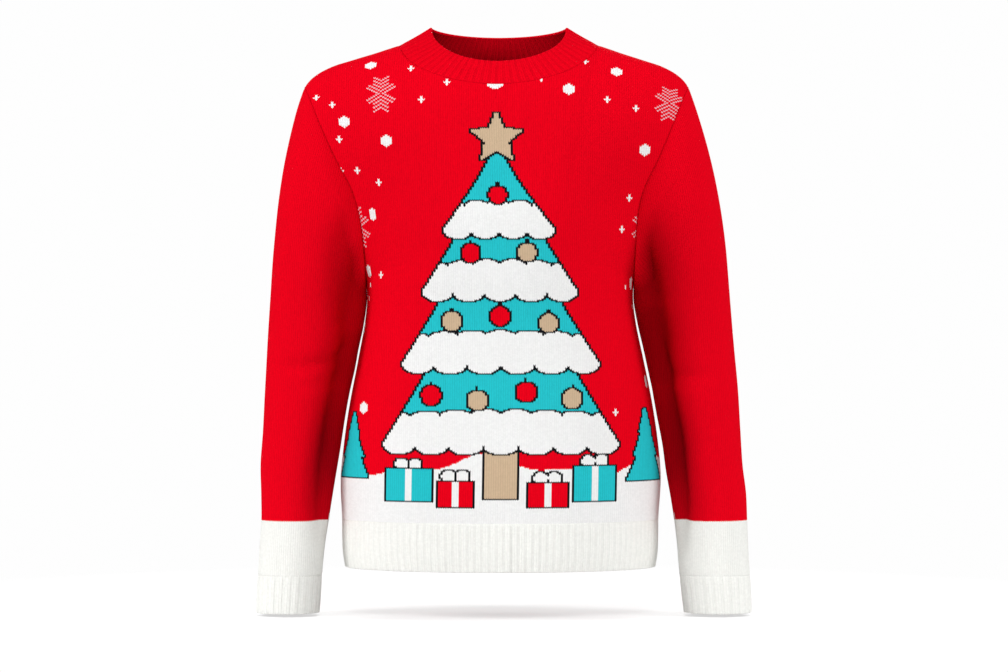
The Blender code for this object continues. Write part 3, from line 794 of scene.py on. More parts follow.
# The tiers of the fir tree: heights of the top and the lower edge, and half widths there
TIERS = table(
    "top low half_top half_low lobes snow",
    (0.258, 0.094, 0.052, 0.146, 7, 0.034),
    (0.334, 0.190, 0.038, 0.121, 6, 0.032),
    (0.398, 0.276, 0.024, 0.094, 5, 0.030),
    (0.446, 0.350, 0.004, 0.066, 4, 0.027),
)
TIER_FLARE = 1.25       # above 1, a tier flares towards its lower edge
LOBE = 0.012            # how far the lobes of a tier's edge hang down
SNOW_LOBE = 0.007       # how far the snow on it swells up between its own
SNOW_SAG = 0.006        # how much lower it lies at its sides
TRUNK_HALF = 0.019
TRUNK_FOOT = 0.030
TRUNK_TOP = 0.110
TREE_STAR = 0.458       # height of its middle
TREE_STAR_REACH = 0.033
STAR_WAIST = 0.46       # inner radius of a five-pointed star, as a share of its outer one

BAUBLES = table(
    "w r radius yarn",
    (-0.084, 0.152, 0.0115, RED), (-0.028, 0.146, 0.0115, TAN), (0.030, 0.156, 0.0115, RED),
    (0.086, 0.148, 0.0115, TAN), (-0.058, 0.240, 0.0110, TAN), (0.000, 0.246, 0.0110, RED),
    (0.058, 0.238, 0.0110, TAN), (-0.034, 0.321, 0.0105, RED), (0.033, 0.322, 0.0105, TAN),
    (0.000, 0.390, 0.0100, RED),
)
CAP_UP = 0.0030         # from a bauble's top to the middle of its cap
CAP_HALF = 0.0022       # half its height
CAP_WALES = 0.6         # half its width, in stitches

# Parcels under the tree, each with a white ribbon and bow
PARCELS = table(
    "w foot half height paper",
    (-0.112, 0.026, 0.030, 0.038, TEAL), (-0.054, 0.020, 0.021, 0.030, RED),
    (0.056, 0.020, 0.024, 0.028, RED), (0.114, 0.026, 0.026, 0.042, TEAL),
)
RIBBON_HALF = 0.0045
BOW_LOOP = 0.0082       # radius of each loop of a bow
BOW_ASIDE = 0.0085      # from its knot to the middle of a loop
BOW_UP = 0.006
BOW_FLAT = 1.25         # how much wider a loop is than it is high

# Small firs at the sides
FIRS = table(
    "w foot height half", (-0.196, 0.052, 0.078, 0.027), (0.190, 0.050, 0.086, 0.030))
FIR_TIERS = 3
FIR_SAW = 0.28          # how far each of them draws in again
FIR_TIP = 0.003         # half width of its top


def grown(mask):
    """A shape grown by one stitch each way."""
    wide = mask.copy()
    wide[:, 1:] |= mask[:, :-1]
    wide[:, :-1] |= mask[:, 1:]
    out = wide.copy()
    out[1:] |= wide[:-1]
    out[:-1] |= wide[1:]
    return out


def draw(yarn, mask, colour):
    """Lays a shape on the chart, in one yarn, with a black line round it."""
    yarn[grown(mask) & ~mask] = BLACK
    yarn[mask] = colour


def scallops(w, count, half, height):
    """A row of rounded lobes across a width: how far each reaches out."""
    t = np.clip((w + half) / (2.0 * half), 0.0, 1.0) * count
    return height * arch(2.0 * (t - np.floor(t)) - 1.0)


def tier_half(tier, r):
    """Half width of a tier at a height."""
    t = np.clip((tier.top - r) / (tier.top - tier.low), 0.0, 1.0)
    return tier.half_top + (tier.half_low - tier.half_top) * t**TIER_FLARE


def five_points(w, r, radius):
    """A plain five-pointed star."""
    corner = math.pi / 5.0
    turn = np.abs((np.arctan2(w, r) + corner) % (2.0 * corner) - corner)
    inner_x = STAR_WAIST * radius * math.cos(corner)
    inner_y = STAR_WAIST * radius * math.sin(corner)
    edge = radius * inner_y / (np.cos(turn) * inner_y - np.sin(turn) * (inner_x - radius))
    return np.hypot(w, r) < edge


def draw_tree(yarn, w, r):
    """A generic fir with snowy tiers, baubles, a star and parcels."""
    draw(yarn, (np.abs(w) < TRUNK_HALF) & (r > TRUNK_FOOT) & (r < TRUNK_TOP), TAN)
    for parcel in PARCELS:
        x = np.abs(w - parcel.w)
        y = r - parcel.foot
        box = (x < parcel.half) & (y > 0.0) & (y < parcel.height)
        bow = np.hypot(x - BOW_ASIDE, (y - parcel.height - BOW_UP) * BOW_FLAT) < BOW_LOOP
        draw(yarn, bow, WHITE)
        draw(yarn, box, parcel.paper)
        yarn[box & (x < RIBBON_HALF)] = WHITE
    for tier in TIERS:
        low = tier.low - scallops(w, tier.lobes, tier.half_low, LOBE)
        shape = (r > low) & (r < tier.top) & (np.abs(w) < tier_half(tier, r))
        lying = tier.low + tier.snow - SNOW_SAG * (w / tier.half_low) ** 2
        snow = shape & (r < lying + scallops(w, tier.lobes + 1, tier.half_low, SNOW_LOBE))
        draw(yarn, shape, TEAL)
        yarn[grown(snow) & shape] = BLACK
        yarn[snow] = WHITE
    for bauble in BAUBLES:
        x = w - bauble.w
        y = r - bauble.r
        draw(yarn, np.hypot(x, y) < bauble.radius, bauble.yarn)
        cap = np.abs(y - bauble.radius - CAP_UP) < CAP_HALF
        yarn[cap & (np.abs(x) < CAP_WALES * WALE)] = BLACK
    draw(yarn, five_points(w, r - TREE_STAR, TREE_STAR_REACH), TAN)


def draw_fir(yarn, w, r, fir):
    t = (r - fir.foot) / fir.height
    up = np.clip(t, 0.0, 1.0)
    half = fir.half * (1.0 - up) * (1.0 - FIR_SAW * ((up * FIR_TIERS) % 1.0)) + FIR_TIP
    draw(yarn, (t > 0.0) & (t < 1.0) & (np.abs(w - fir.w) < half), TEAL)


def panel_yarns(panel):
    """The yarn of each stitch of a panel, row by row."""
    w = panel.w[:-1, :-1] + WALE / 2.0
    r = panel.r[:-1, :-1] + ROW / 2.0
    yarn = np.full(w.shape, RED)
    spots = np.stack((w, r), axis=-1)
    if panel.front:
        corners = seen(swayed(panel_points(panel.u, panel.v, True)))
        spots = (corners[:-1, :-1] + corners[1:, 1:]) / 2.0
    for motif, *middles in SNOW[panel.front]:
        for middle in middles:
            apart = np.linalg.norm(spots - np.array(middle), axis=-1)
            apart[~panel.inside[:-1, :-1]] = 1.0
            row, column = np.unravel_index(np.argmin(apart), w.shape)
            # A motif beyond the edge is counted on from the last stitch
            beyond = np.array(middle) - spots[row, column]
            middle_w = w[row, column] + np.round(beyond[0] / WALE) * WALE
            middle_r = r[row, column] + np.round(beyond[1] / ROW / 2.0) * ROW * 2.0
            shape = motif(w - middle_w, r - middle_r)
            yarn[shape] = LONE if motif is flake else WHITE
    hills = sum(hill.height * np.cos(w * hill.turns + hill.start) for hill in HILLS)
    snow = r < GROUND[panel.front] + hills
    if panel.front:
        for fir in FIRS:
            draw_fir(yarn, w, r, fir)
        yarn[snow & (yarn != TEAL) & (yarn != BLACK)] = WHITE
        draw_tree(yarn, w, r)
    else:
        yarn[snow] = WHITE
    return yarn


# ---- Materials ----

UNEVEN = 0.35           # how unevenly stitches lie, in rows
GAP_POWER = 3.0         # above 1, the furrow between two wales is narrow
HEART = 0.62            # height of the yarn in the middle of a V
HEART_RISE = 1.2        # how fast it rises from there to its legs
BEAD_POWER = 0.6        # below 1, the stitches of a wale are plump
BEAD = 0.45             # share of the yarn's height that falls between them
ROUGHNESS = 0.86
ROUGHNESS_SWING = 0.06
SPECULAR = 0.01
BUMP = 0.0005           # height of the yarn's relief
FUZZ = 0.25             # share of it that the fibres add
TONE = 0.03             # how much lighter or darker a stitch may be
FIBRES = 2600.0         # fineness of the fibres
WOBBLE = 420.0          # of the unevenness of the stitches
CLOUDS = 9.0            # and of the slow change of tone
RAMP_STEPS = 8.0        # places on the ramp of yarns
MIX_A, MIX_B, MIX_RESULT = 6, 7, 2    # the colour sockets of a Mix node
FURROW_POWER = 2.5      # above 1, the painted shade of a furrow is narrow
SLEEVE_CHANGE = 40      # row above the cuff where white changes to red


class Finish:
    """A material whose nodes are added one at a time."""

    def __init__(self, name):
        self.material = bpy.data.materials.new(name)
        self.material.use_nodes = True
        self.nodes = self.material.node_tree.nodes
        self.nodes.clear()

    def add(self, kind, *values, **named):
        """A node, with values for its sockets in order or by name, and settings in lower case."""
        node = self.nodes.new("ShaderNode" + kind)
        for key, value in named.items():
            if key.islower():
                setattr(node, key, value)
        for socket, value in zip(node.inputs, values):
            self.put(socket, value)
        for key, value in named.items():
            if not key.islower():
                self.put(node.inputs[key.replace("_", " ")], value)
        return node

    def put(self, socket, value):
        if isinstance(value, bpy.types.NodeSocket):
            self.material.node_tree.links.new(value, socket)
        else:
            socket.default_value = value

    def math(self, operation, *values):
        return self.add("Math", *values, operation=operation).outputs["Value"]

    def mix(self, factor, one, other):
        """A colour between two others."""
        node = self.add("Mix", factor, data_type="RGBA")
        self.put(node.inputs[MIX_A], one)
        self.put(node.inputs[MIX_B], other)
        return node.outputs[MIX_RESULT]

    def scaled(self, colour, factor):
        return self.add("VectorMath", colour, operation="SCALE", Scale=factor).outputs["Vector"]

    def noise(self, scale, detail=2.0):
        where = self.add("TexCoord").outputs["Object"]
        return self.add("TexNoise", Scale=scale, Detail=detail, Vector=where).outputs[0]

    def about(self, value, middle, swing):
        """A value of about 0.5 turned into one about another middle."""
        return self.math("MULTIPLY_ADD", value, 2.0 * swing, middle - swing)

    def attribute(self, name, output):
        return self.add("Attribute", attribute_name=name).outputs[output]

    def done(self, surface):
        """The material, with its surface joined up."""
        self.add("OutputMaterial", Surface=surface)
        return self.material


Knit = namedtuple("Knit", "u v along height")


def knit_nodes(f):
    """A plain knit: where a point lies in its stitch, and how high the yarn stands there."""
    uv = f.add("UVMap", uv_map="stitches").outputs["UV"]
    u, v = f.add("SeparateXYZ", uv).outputs[:2]
    across = f.math("FRACT", u)
    away = f.math("MULTIPLY", f.math("ABSOLUTE", f.math("SUBTRACT", across, 0.5)), 2.0)
    leaning = f.math("MULTIPLY_ADD", away, -STITCH_LEAN, v)
    leaning = f.math("ADD", leaning, STITCH_LEAN / 2.0)
    uneven = f.math("ADD", leaning, f.about(f.noise(WOBBLE), 0.0, UNEVEN))
    groove = f.math("SUBTRACT", 1.0, f.math("POWER", away, GAP_POWER))
    heart = f.math("MINIMUM", f.math("MULTIPLY_ADD", away, HEART_RISE, HEART), 1.0)
    leg = f.math("MULTIPLY", groove, heart)
    turn = f.math("MULTIPLY", f.math("FRACT", uneven), math.pi)
    bead = f.math("POWER", f.math("MAXIMUM", f.math("SINE", turn), 0.0), BEAD_POWER)
    height = f.math("MULTIPLY", leg, f.math("MULTIPLY_ADD", bead, BEAD, 1.0 - BEAD))
    return Knit(u, v, leaning, height)


def stitch_tone(f, knit):
    """A slightly different tone for each stitch, over a slow change across the cloth."""
    cell = f.add("CombineXYZ", f.math("FLOOR", knit.u), f.math("FLOOR", knit.along))
    white = f.add("TexWhiteNoise", cell.outputs["Vector"], noise_dimensions="3D")
    each = f.about(white.outputs["Value"], 1.0, TONE)
    return f.math("MULTIPLY", each, f.about(f.noise(CLOUDS, detail=3.0), 1.0, TONE))


def yarn_ramp(f, index):
    """The colour of a yarn by its number, and the painted shade that darkens it between its
    stitches.
    """
    ramp = f.add("ValToRGB", f.math("MULTIPLY", f.math("ADD", index, 0.5), 1.0 / RAMP_STEPS))
    ramp.color_ramp.interpolation = "CONSTANT"
    elements = ramp.color_ramp.elements
    for k, colour in enumerate(YARNS):
        element = elements[k] if k < 2 else elements.new(k / RAMP_STEPS)
        element.position = k / RAMP_STEPS
        element.color = (*colour, SHADES[k])
    return ramp.outputs["Color"], ramp.outputs["Alpha"]


def finish_cloth(f, knit, colour, shadow):
    """Joins colour, tone, painted shade between the stitches and relief in the shader of a matt
    wool-like cloth.
    """
    # Painted shade: the yarn's colour is darkened where it dips between stitches
    between = f.math("SUBTRACT", 1.0, knit.height)
    shade = f.math("SUBTRACT", 1.0, f.math("MULTIPLY", between, shadow))
    shade = f.math("MULTIPLY", shade, stitch_tone(f, knit))
    fibre = f.noise(FIBRES, detail=3.0)
    relief = f.math("ADD", knit.height, f.math("MULTIPLY", fibre, FUZZ))
    bumped = f.add("Bump", Strength=1.0, Distance=BUMP, Height=relief)
    shader = f.add(
        "BsdfPrincipled",
        Base_Color=f.scaled(colour, shade),
        Roughness=f.about(fibre, ROUGHNESS, ROUGHNESS_SWING),
        Specular_IOR_Level=SPECULAR,
        Normal=bumped.outputs["Normal"],
    )
    return f.done(shader.outputs["BSDF"])


def plain_knit(name, colour, shadow=SHADES[RED]):
    f = Finish(name)
    return finish_cloth(f, knit_nodes(f), colour, shadow)


def jacquard_knit():
    """The body panels: each stitch takes its yarn from the chart."""
    f = Finish("jacquard knit")
    knit = knit_nodes(f)
    here, above, below = f.add("SeparateXYZ", f.attribute("yarn", "Vector")).outputs
    # The legs of a V reach up into the row above, and down from it
    step = f.math("SUBTRACT", f.math("FLOOR", knit.along), f.math("FLOOR", knit.v))
    up = f.math("GREATER_THAN", step, 0.5)
    down = f.math("LESS_THAN", step, -0.5)
    index = f.math("MULTIPLY_ADD", up, f.math("SUBTRACT", above, here), here)
    index = f.math("MULTIPLY_ADD", down, f.math("SUBTRACT", below, here), index)
    return finish_cloth(f, knit, *yarn_ramp(f, index))


def sleeve_knit():
    """A sleeve: red, darkened with painted shade in its deepest folds, and white from a row near
    the cuff down.
    """
    f = Finish("sleeve knit")
    knit = knit_nodes(f)
    white = f.math("LESS_THAN", f.math("FLOOR", knit.along), SLEEVE_CHANGE - 0.5)
    # Painted shade: the red is darkened where the sleeve's folds press in deepest
    folds = f.attribute("folds", "Fac")
    red = f.scaled(YARNS[RED], f.math("MULTIPLY_ADD", folds, -PAINTED_FOLD_SHADE, 1.0))
    colour = f.mix(white, red, (*OFF_WHITE, 1.0))
    shadow = f.math("MULTIPLY_ADD", white, SHADES[WHITE] - SHADES[RED], SHADES[RED])
    return finish_cloth(f, knit, colour, shadow)


def rib_knit(name, colour, furrows, shadow):
    """Rib fabric: the purl furrow between each two ribs is darkened with painted shade."""
    f = Finish(name)
    knit = knit_nodes(f)
    across = f.math("MULTIPLY", f.math("FRACT", f.math("DIVIDE", knit.u, RIB_WALES)), 2.0)
    furrow = f.math("SUBTRACT", 1.0, f.math("ABSOLUTE", f.math("SUBTRACT", across, 1.0)))
    # Painted shade in the furrows between the ribs
    darker = f.math("MULTIPLY_ADD", f.math("POWER", furrow, FURROW_POWER), -furrows, 1.0)
    return finish_cloth(f, knit, f.scaled(colour, darker), shadow)


# ---- Sleeves ----

# Where the rows and columns of a sleeve's mesh lie next to its edges, and their steps beyond
EDGE_STEPS = (0.0, 0.0007, 0.0015, 0.0026, 0.0042, 0.0064)
SKIN_STEP = 0.0036
EDGE_DEGREES = (0.0, 0.9, 2.0, 3.4, 5.4, 8.0)
SKIN_DEGREES = 2.6

FOLD_START = 0.030      # below the armhole, where the folds are at their full depth
LEVELS = 300            # level sections along which wales are counted
INNER_SHARE = 4         # rows of the fine layer for each row of the inner one
UNDERARM_TURN = 62.0    # degrees either side of the underarm where a sleeve folds back
UNDERARM_RISE = 0.9     # how steeply it does so
UNDERARM_SHARE = 1.5    # above 1, it does so fully over a part of the turn

SleeveSkin = namedtuple("SleeveSkin", "plain pressed normals uv degrees shade")


def spaced(length, step, fine=EDGE_STEPS):
    """Distances from 0 to a length: close together at both ends, even between."""
    ends = np.array(fine)
    count = max(int(round((length - 2.0 * ends[-1]) / step)), 1)
    middle = np.linspace(ends[-1], length - ends[-1], count + 1)
    return np.concatenate((ends[:-1], middle, (length - ends[:-1])[::-1]))


def curve_rings(rings, at):
    """Rings of points through a stack of rings, at distances down from the first."""
    gaps = steps(rings).mean(axis=1)
    knots = run(gaps)
    rise = np.diff(rings, axis=0) / gaps[:, None, None]
    weight = (gaps[:-1] / (gaps[:-1] + gaps[1:]))[:, None, None]
    slope = np.concatenate((rise[:1], rise[1:] * weight + rise[:-1] * (1.0 - weight), rise[-1:]))
    i = np.clip(np.searchsorted(knots, at, side="right") - 1, 0, len(gaps) - 1)
    t = (at - knots[i]) / gaps[i]
    return smooth(rings, slope, i, gaps[i][:, None, None], t[:, None, None])


def armhole_points(degrees, side):
    """The armhole's edge at angles round a sleeve: 0 at the shoulder, positive in front."""
    v = 2.0 - np.abs(degrees) / 180.0
    half, front_depth, height = edge_curve(v, True)
    back_depth = edge_curve(v, False)[1]
    return xyz(half * side, np.where(degrees > 0.0, -front_depth, back_depth), height)


def sleeve_rings(side, degrees):
    """The armhole and the rows of a sleeve, as stacked rings."""
    first = armhole_points(degrees, side)
    rings = [sleeve_ring(row, np.radians(degrees), side) for row in SLEEVE]
    beyond = unit(rings[1] - first)
    lift = unit(np.array((side, 0.0, UNDERARM_RISE)))
    under = 180.0 - np.abs(degrees)
    weight = ease(UNDERARM_SHARE * (1.0 - under / UNDERARM_TURN))[:, None]
    away = unit(beyond * (1.0 - weight) + lift * weight)
    return np.stack([first + away * ARMHOLE_GAP] + rings)


def sleeve_stitches(skin, middle):
    """Stitch coordinates on a sleeve's surface, whose outer line is its middle column."""
    wrapped = np.concatenate((skin, skin[:, :1]), axis=1)
    columns = wrapped.transpose(1, 0, 2)
    # Wales are counted along level sections, from the outer line
    levels = np.linspace(wrapped[..., 2].min(), wrapped[..., 2].max(), LEVELS)
    plan = np.stack([
        [np.interp(levels, line[::-1, 2], line[::-1, i]) for i in (0, 1)] for line in columns])
    width = np.hypot(*np.diff(plan, axis=0).transpose(1, 0, 2))
    reach = np.stack([run(level) for level in width.T], axis=1)
    reach = reach - reach[middle]
    w = [np.interp(line[:, 2], levels, each) for line, each in zip(columns, reach)]
    # Rows are level: they are counted up the outer line of the sleeve
    outer = skin[::-1, middle]
    r = np.interp(wrapped[..., 2], outer[:, 2], run(steps(outer)))
    return np.stack((np.stack(w, axis=1) / WALE, r / ROW), axis=-1)


def sleeve_skin(side):
    """The fine outer surface of a sleeve, with its folds, and its stitch coordinates."""
    half = spaced(180.0, SKIN_DEGREES, fine=EDGE_DEGREES)
    degrees = np.concatenate((-half[:0:-1], half[:-1], [-180.0]))
    degrees = np.unique(np.round(degrees, 4))
    rings = sleeve_rings(side, degrees)
    down = spaced(steps(rings).mean(axis=1).sum(), SKIN_STEP)
    plain = curve_rings(rings, down)
    start = ease(down / FOLD_START)[:, None]
    turn = np.broadcast_to(degrees % 360.0, plain.shape[:2])
    z = plain[..., 2]
    pressed = pressed_in(FOLDS + FINE_FOLDS, side, z, turn) + pressed_in(CREASES, side, turn, z)
    skin = plain - grid_normals(plain, closed=True) * side * (pressed * start)[..., None]
    normals = grid_normals(skin, closed=True) * side
    # Painted shade: how dark the red knit is painted in the folds, spread wider than the folds
    # themselves
    broad = [fold._replace(spread=fold.spread * FOLD_BROAD) for fold in FINE_FOLDS]
    shade = np.clip(pressed_in(broad, side, z, turn) / FOLD_FULL, 0.0, 1.0) * start
    uv = sleeve_stitches(plain, np.argmin(np.abs(degrees)))
    return SleeveSkin(plain, skin, normals, uv, degrees, shade)


def sleeve_piece(name, materials, side):
    skin = SKINS[side]
    down = run(steps(skin.plain).mean(axis=1))
    seam = (skin.uv[:, -1:, 0] - np.abs(skin.uv[:, :-1, 0])) * WALE
    roll = np.maximum(ROLL * rolled_in(down)[:, None], SIDE_ROLL * rolled_in(seam))
    outer = skin.pressed - skin.normals * roll[..., None]
    pick = np.unique(np.append(np.arange(0, len(down), INNER_SHARE), len(down) - 1))[::-1]
    inner = (skin.pressed - skin.normals * CLOTH)[pick]
    uv = np.concatenate((skin.uv, skin.uv[pick], skin.uv[:1]))
    index = np.repeat((0, 1), (len(down) - 1, len(pick) + 1))
    sheet = Sheet()
    sheet.grid(
        np.concatenate((outer, inner)), uv, closed=True, looped=True, flip=side < 0, index=index)
    ob = sheet.build(name, materials)
    # Painted shade of the folds, kept on the outer points for the sleeve material
    shade = np.zeros(len(ob.data.vertices), "f")
    shade[:skin.shade.size] = skin.shade.ravel()
    folds = ob.data.attributes.new("folds", "FLOAT", "POINT")
    folds.data.foreach_set("value", shade)
    return ob


# ---- Ribs ----

HEM_RIBS = 58           # on each half of the hem
CUFF_RIBS = 24
BAND_RIBS = 74
RIB_POINTS = 10         # points across one rib
RIB_RISE = 0.0011       # height of a rib
BAND_RISE = 0.0008      # and of the neckband's
BACK_RISE = 0.8         # how high ribs stand on the inner side, as a share of that
RIB_SHARPNESS = 0.45    # below 1, ribs are broad and their furrows narrow
EDGE_TURNS = 6          # points round a free edge
SETTLE = 0.009          # height over which ribs grow out of a seam
RIB_SUNK = 0.6          # how much of a rib's height lies below the plain knit beside it
RIB_SWAY = 0.07         # how far a rib leans, as a share of its width
RIB_BENDS = 55.0        # how closely its bends follow each other
RIB_SWELL = 0.10        # how much higher some ribs are than others
RIB_LUMPS = 0.08        # how much higher a rib is in some places than in others
RIB_LUMPY = 90.0        # how closely those follow each other
HEM_SAMPLES = 241       # of the hem's form across, which is then divided evenly
HEM_ROWS = 26
CUFF_ROWS = 22
BAND_ROWS = 20
NECK_SAMPLES = 401      # of the neck seam

Rib = namedtuple("Rib", "cloth rise wobble closed")


def rib_form(part):
    """Height of the ribs, from 0 to 1, at places counted in ribs."""
    return np.abs(np.cos(math.pi * part)) ** RIB_SHARPNESS


def rib_piece(name, base, normals, rib, materials, flip):
    """A ribbed wall from a grid of points (free edge first) with a rounded free edge."""
    rows, columns = base.shape[:2]
    part = np.arange(columns + rib.closed) / RIB_POINTS
    up = run(steps(base).mean(axis=1))
    grow = ease((up[-1] - up) / SETTLE)[:, None]
    # Each rib leans and swells a little, by its number, which makes it unlike the next
    at = part[:columns]
    number = np.floor(at + 0.5)
    bends = np.sin(up[:, None] * RIB_BENDS + number * 1.7)
    sway = RIB_SWAY * np.sin(number * 2.4 + 1.0) * bends
    lumps = np.sin(up[:, None] * RIB_LUMPY + number)
    swell = 1.0 + RIB_SWELL * np.sin(number * 1.9 + 0.6) + RIB_LUMPS * lumps
    out = rib.rise * (rib_form(at + sway * rib.wobble) * swell - RIB_SUNK) * grow
    back = rib.rise * BACK_RISE * rib_form(at - 0.5) * grow
    outer = base + normals * out[..., None]
    inner = base - normals * (rib.cloth + back)[..., None]
    half = rib.cloth / 2.0
    down = -unit(base[1] - base[0])
    middle = base[0] - normals[0] * half
    edge = []
    for turn in np.linspace(0.0, math.pi, EDGE_TURNS + 2)[1:-1]:
        reach = half + (out[0] if turn < math.pi / 2 else back[0])
        aside = normals[0] * (math.cos(turn) * reach)[:, None]
        edge.append(middle + aside + down * math.sin(turn) * half)
    loop = np.concatenate((outer[::-1], np.stack(edge), inner))
    length = run(steps(loop).mean(axis=1))
    v = np.append(length[rows - 1] - length, length[rows - 1])
    uv = np.stack(np.broadcast_arrays(part * RIB_WALES, v[:, None] / ROW), axis=-1)
    inside = np.arange(len(loop)) > rows + EDGE_TURNS
    index = np.where(inside, len(materials) - 1, 0)
    sheet = Sheet()
    sheet.grid(loop, uv, closed=rib.closed, looped=True, flip=flip, index=index)
    if not rib.closed:
        first = np.arange(len(loop)) * columns
        ends = [first.tolist(), (first + columns - 1).tolist()]
        ends[1 if flip else 0].reverse()
        sheet.faces += ends
        sheet.index += [0, 0]
        sheet.uv += [np.full((len(loop), 2), (u * RIB_WALES, 0.0)) for u in (part[0], part[-1])]
    return sheet.build(name, materials)


def hem_piece(name, materials, front):
    """One half of the hem rib."""
    top = panel_points(crowded(HEM_SAMPLES), np.zeros(HEM_SAMPLES), front)
    rows = []
    for z in np.linspace(HEM_BOTTOM + RIB_CLOTH / 2.0, HEM_TOP, HEM_ROWS):
        wide = through(BODY, "half_width", z) / top[-1, 0]
        deep = body_depth(z, front) / np.abs(top[:, 1]).max()
        ring = top * np.array((wide, deep, 0.0)) + np.array((0.0, 0.0, z))
        rows.append(follow(ring, HEM_RIBS * RIB_POINTS, closed=False))
    base = np.stack(rows)
    normals = grid_normals(base, closed=False) * (1.0 if front else -1.0)
    normals[..., 2] = 0.0
    normals = unit(normals)
    # The two halves keep clear of each other at the side seams
    base[:, (0, -1), 1] += SEAM_GAP / 2.0 * (-1.0 if front else 1.0)
    normals[:, 0] = (-1.0, 0.0, 0.0)
    normals[:, -1] = (1.0, 0.0, 0.0)
    rib = Rib(RIB_CLOTH, RIB_RISE, 1.0, False)
    return rib_piece(name, base, normals, rib, materials, flip=front)


def cuff_piece(name, materials, side):
    turn = np.radians(np.arange(360.0))
    rings = np.stack([sleeve_ring(row, turn, side) for row in CUFF])
    length = steps(rings).mean(axis=1).sum()
    at = np.linspace(0.0, length - RIB_CLOTH / 2.0, CUFF_ROWS)[::-1]
    rows = [follow(ring, CUFF_RIBS * RIB_POINTS, closed=True) for ring in curve_rings(rings, at)]
    base = np.stack(rows)
    normals = grid_normals(base, closed=True) * -side
    rib = Rib(RIB_CLOTH, RIB_RISE, 1.0, True)
    return rib_piece(name, base, normals, rib, materials, flip=side > 0)


def band_rows(count):
    """The neckband's base, from its seam to its top edge, finely divided."""
    u = np.linspace(-1.0, 1.0, NECK_SAMPLES) * NECK_HALF / SHOULDER_HALF
    low = []
    high = []
    for front in (True, False):
        seam = panel_points(u, np.full_like(u, 2.0), front)
        low.append(follow(seam if front else seam[::-1], count, closed=False)[:-1])
        top = band_edge(even_parts(front, count), front)
        high.append(top[:-1] if front else top[:0:-1])
    rise = np.linspace(0.0, 1.0, BAND_ROWS)[:, None, None]
    grid = np.concatenate(low) * (1.0 - rise) + np.concatenate(high) * rise
    return grid - grid_normals(grid, closed=True) * BAND_HOLLOW * np.sin(math.pi * rise)


def band_piece(name, materials, whole):
    """The neckband, which is whole, with no front and back half."""
    base = band_rows(BAND_RIBS // 2 * RIB_POINTS)[::-1]
    normals = -grid_normals(base, closed=True)
    base[0] += unit(base[1] - base[0]) * BAND_CLOTH / 2.0
    rib = Rib(BAND_CLOTH, BAND_RISE, 0.7, whole)
    return rib_piece(name, base, normals, rib, materials, flip=True)


# ---- Seams: rows of linking stitches, as thin beaded cords in the grooves ----

CORD = 0.00045          # radius of a row of linking stitches
CORD_STEP = 0.0008
CORD_END = 0.001        # a cord stops up to this far short of its seam's end
LINE_SAMPLES = 60       # points of a cord's line at a side
SHOULDER_SAMPLES = 80   # on a shoulder
NECK_STEPS = 200        # and on each half of the neck
CORD_SIDES = 6
CORD_WALES = 2.0        # stitches round a cord
CORD_ROWS = 0.5         # and in each step along it
CORD_BEAD = 3.4         # steps from bead to bead
CORD_SWELL = 0.20       # how much thicker a bead is
CORD_ASIDE = (0.31, 0.67, 0.59)    # a direction that no seam runs in
GROOVE = 0.0003         # depth of the cords below a plain seam
ARMHOLE_GROOVE = 0.0005
SLEEVE_SIDE = 0.8       # weight of the sleeve's normal in that groove's, the body's being 1
SHOULDER_GROOVE = 0.0010
WHITE_FROM = -0.497     # height at the sides where the body's white starts
RED_SHARE = 0.83        # share of a sleeve's own seam that is red


def add_cord(sheet, line, closed=False):
    """A cord along a line of points."""
    count = max(int(steps(line).sum() / CORD_STEP), 4)
    path = follow(line, count, closed)
    ahead = unit(onward(path, 0, closed))
    side = unit(np.cross(ahead, np.array(CORD_ASIDE)))
    other = np.cross(ahead, side)
    k = np.arange(len(path) + 1)
    size = CORD * (1.0 + CORD_SWELL * np.sin(k[:-1] * 2.0 * math.pi / CORD_BEAD))
    turn = (np.arange(CORD_SIDES) * 2.0 * math.pi / CORD_SIDES)[:, None]
    ring = side[:, None] * np.cos(turn) + other[:, None] * np.sin(turn)
    points = path[:, None] + ring * size[:, None, None]
    u = np.arange(CORD_SIDES + 1.0) * CORD_WALES / CORD_SIDES
    uv = np.stack(np.broadcast_arrays(u, k[:, None] * CORD_ROWS), axis=-1)
    sheet.grid(points, uv, closed=True, looped=closed)


def side_line(side, low, high):
    """The bottom of the groove at a side seam, between two heights."""
    z = np.linspace(low, high, LINE_SAMPLES)
    return xyz((through(BODY, "half_width", z) - GROOVE) * side, 0.0, z)


def armhole_line(side, skin):
    """The bottom of the groove round an armhole."""
    v = 2.0 - np.abs(skin.degrees) / 180.0
    front, back = (panel_at(np.full_like(v, side), v, each)[1] for each in (True, False))
    panel = np.where((skin.degrees > 0.0)[:, None], front, back)
    both = unit(panel + SLEEVE_SIDE * skin.normals[1])
    return (armhole_points(skin.degrees, side) + skin.pressed[0]) / 2.0 - both * ARMHOLE_GROOVE


def shoulder_line(side):
    x = np.linspace(NECK_HALF + CORD_END, SHOULDER_HALF - CORD_END / 2.0, SHOULDER_SAMPLES)
    z = ridge(x)
    line = xyz(x, 0.0, z) - unit(xyz(-np.gradient(z, x), 0.0, 1.0)) * SHOULDER_GROOVE
    return line * np.array((side, 1.0, 1.0))


def neck_line():
    base = band_rows(NECK_STEPS)
    return base[0] - grid_normals(base, closed=True)[0] * GROOVE


def underarm_line(skin, low, high):
    """The bottom of the groove along a sleeve's own seam, between two shares of its length."""
    line = skin.pressed[:, 0] - skin.normals[:, 0] * GROOVE
    return line[int(low * (len(line) - 1)):int(high * (len(line) - 1)) + 1]


# ---- The pieces ----


def dimmed(yarn, share):
    """A yarn's colour at a share of its brightness."""
    return tuple(c * share for c in YARNS[yarn])


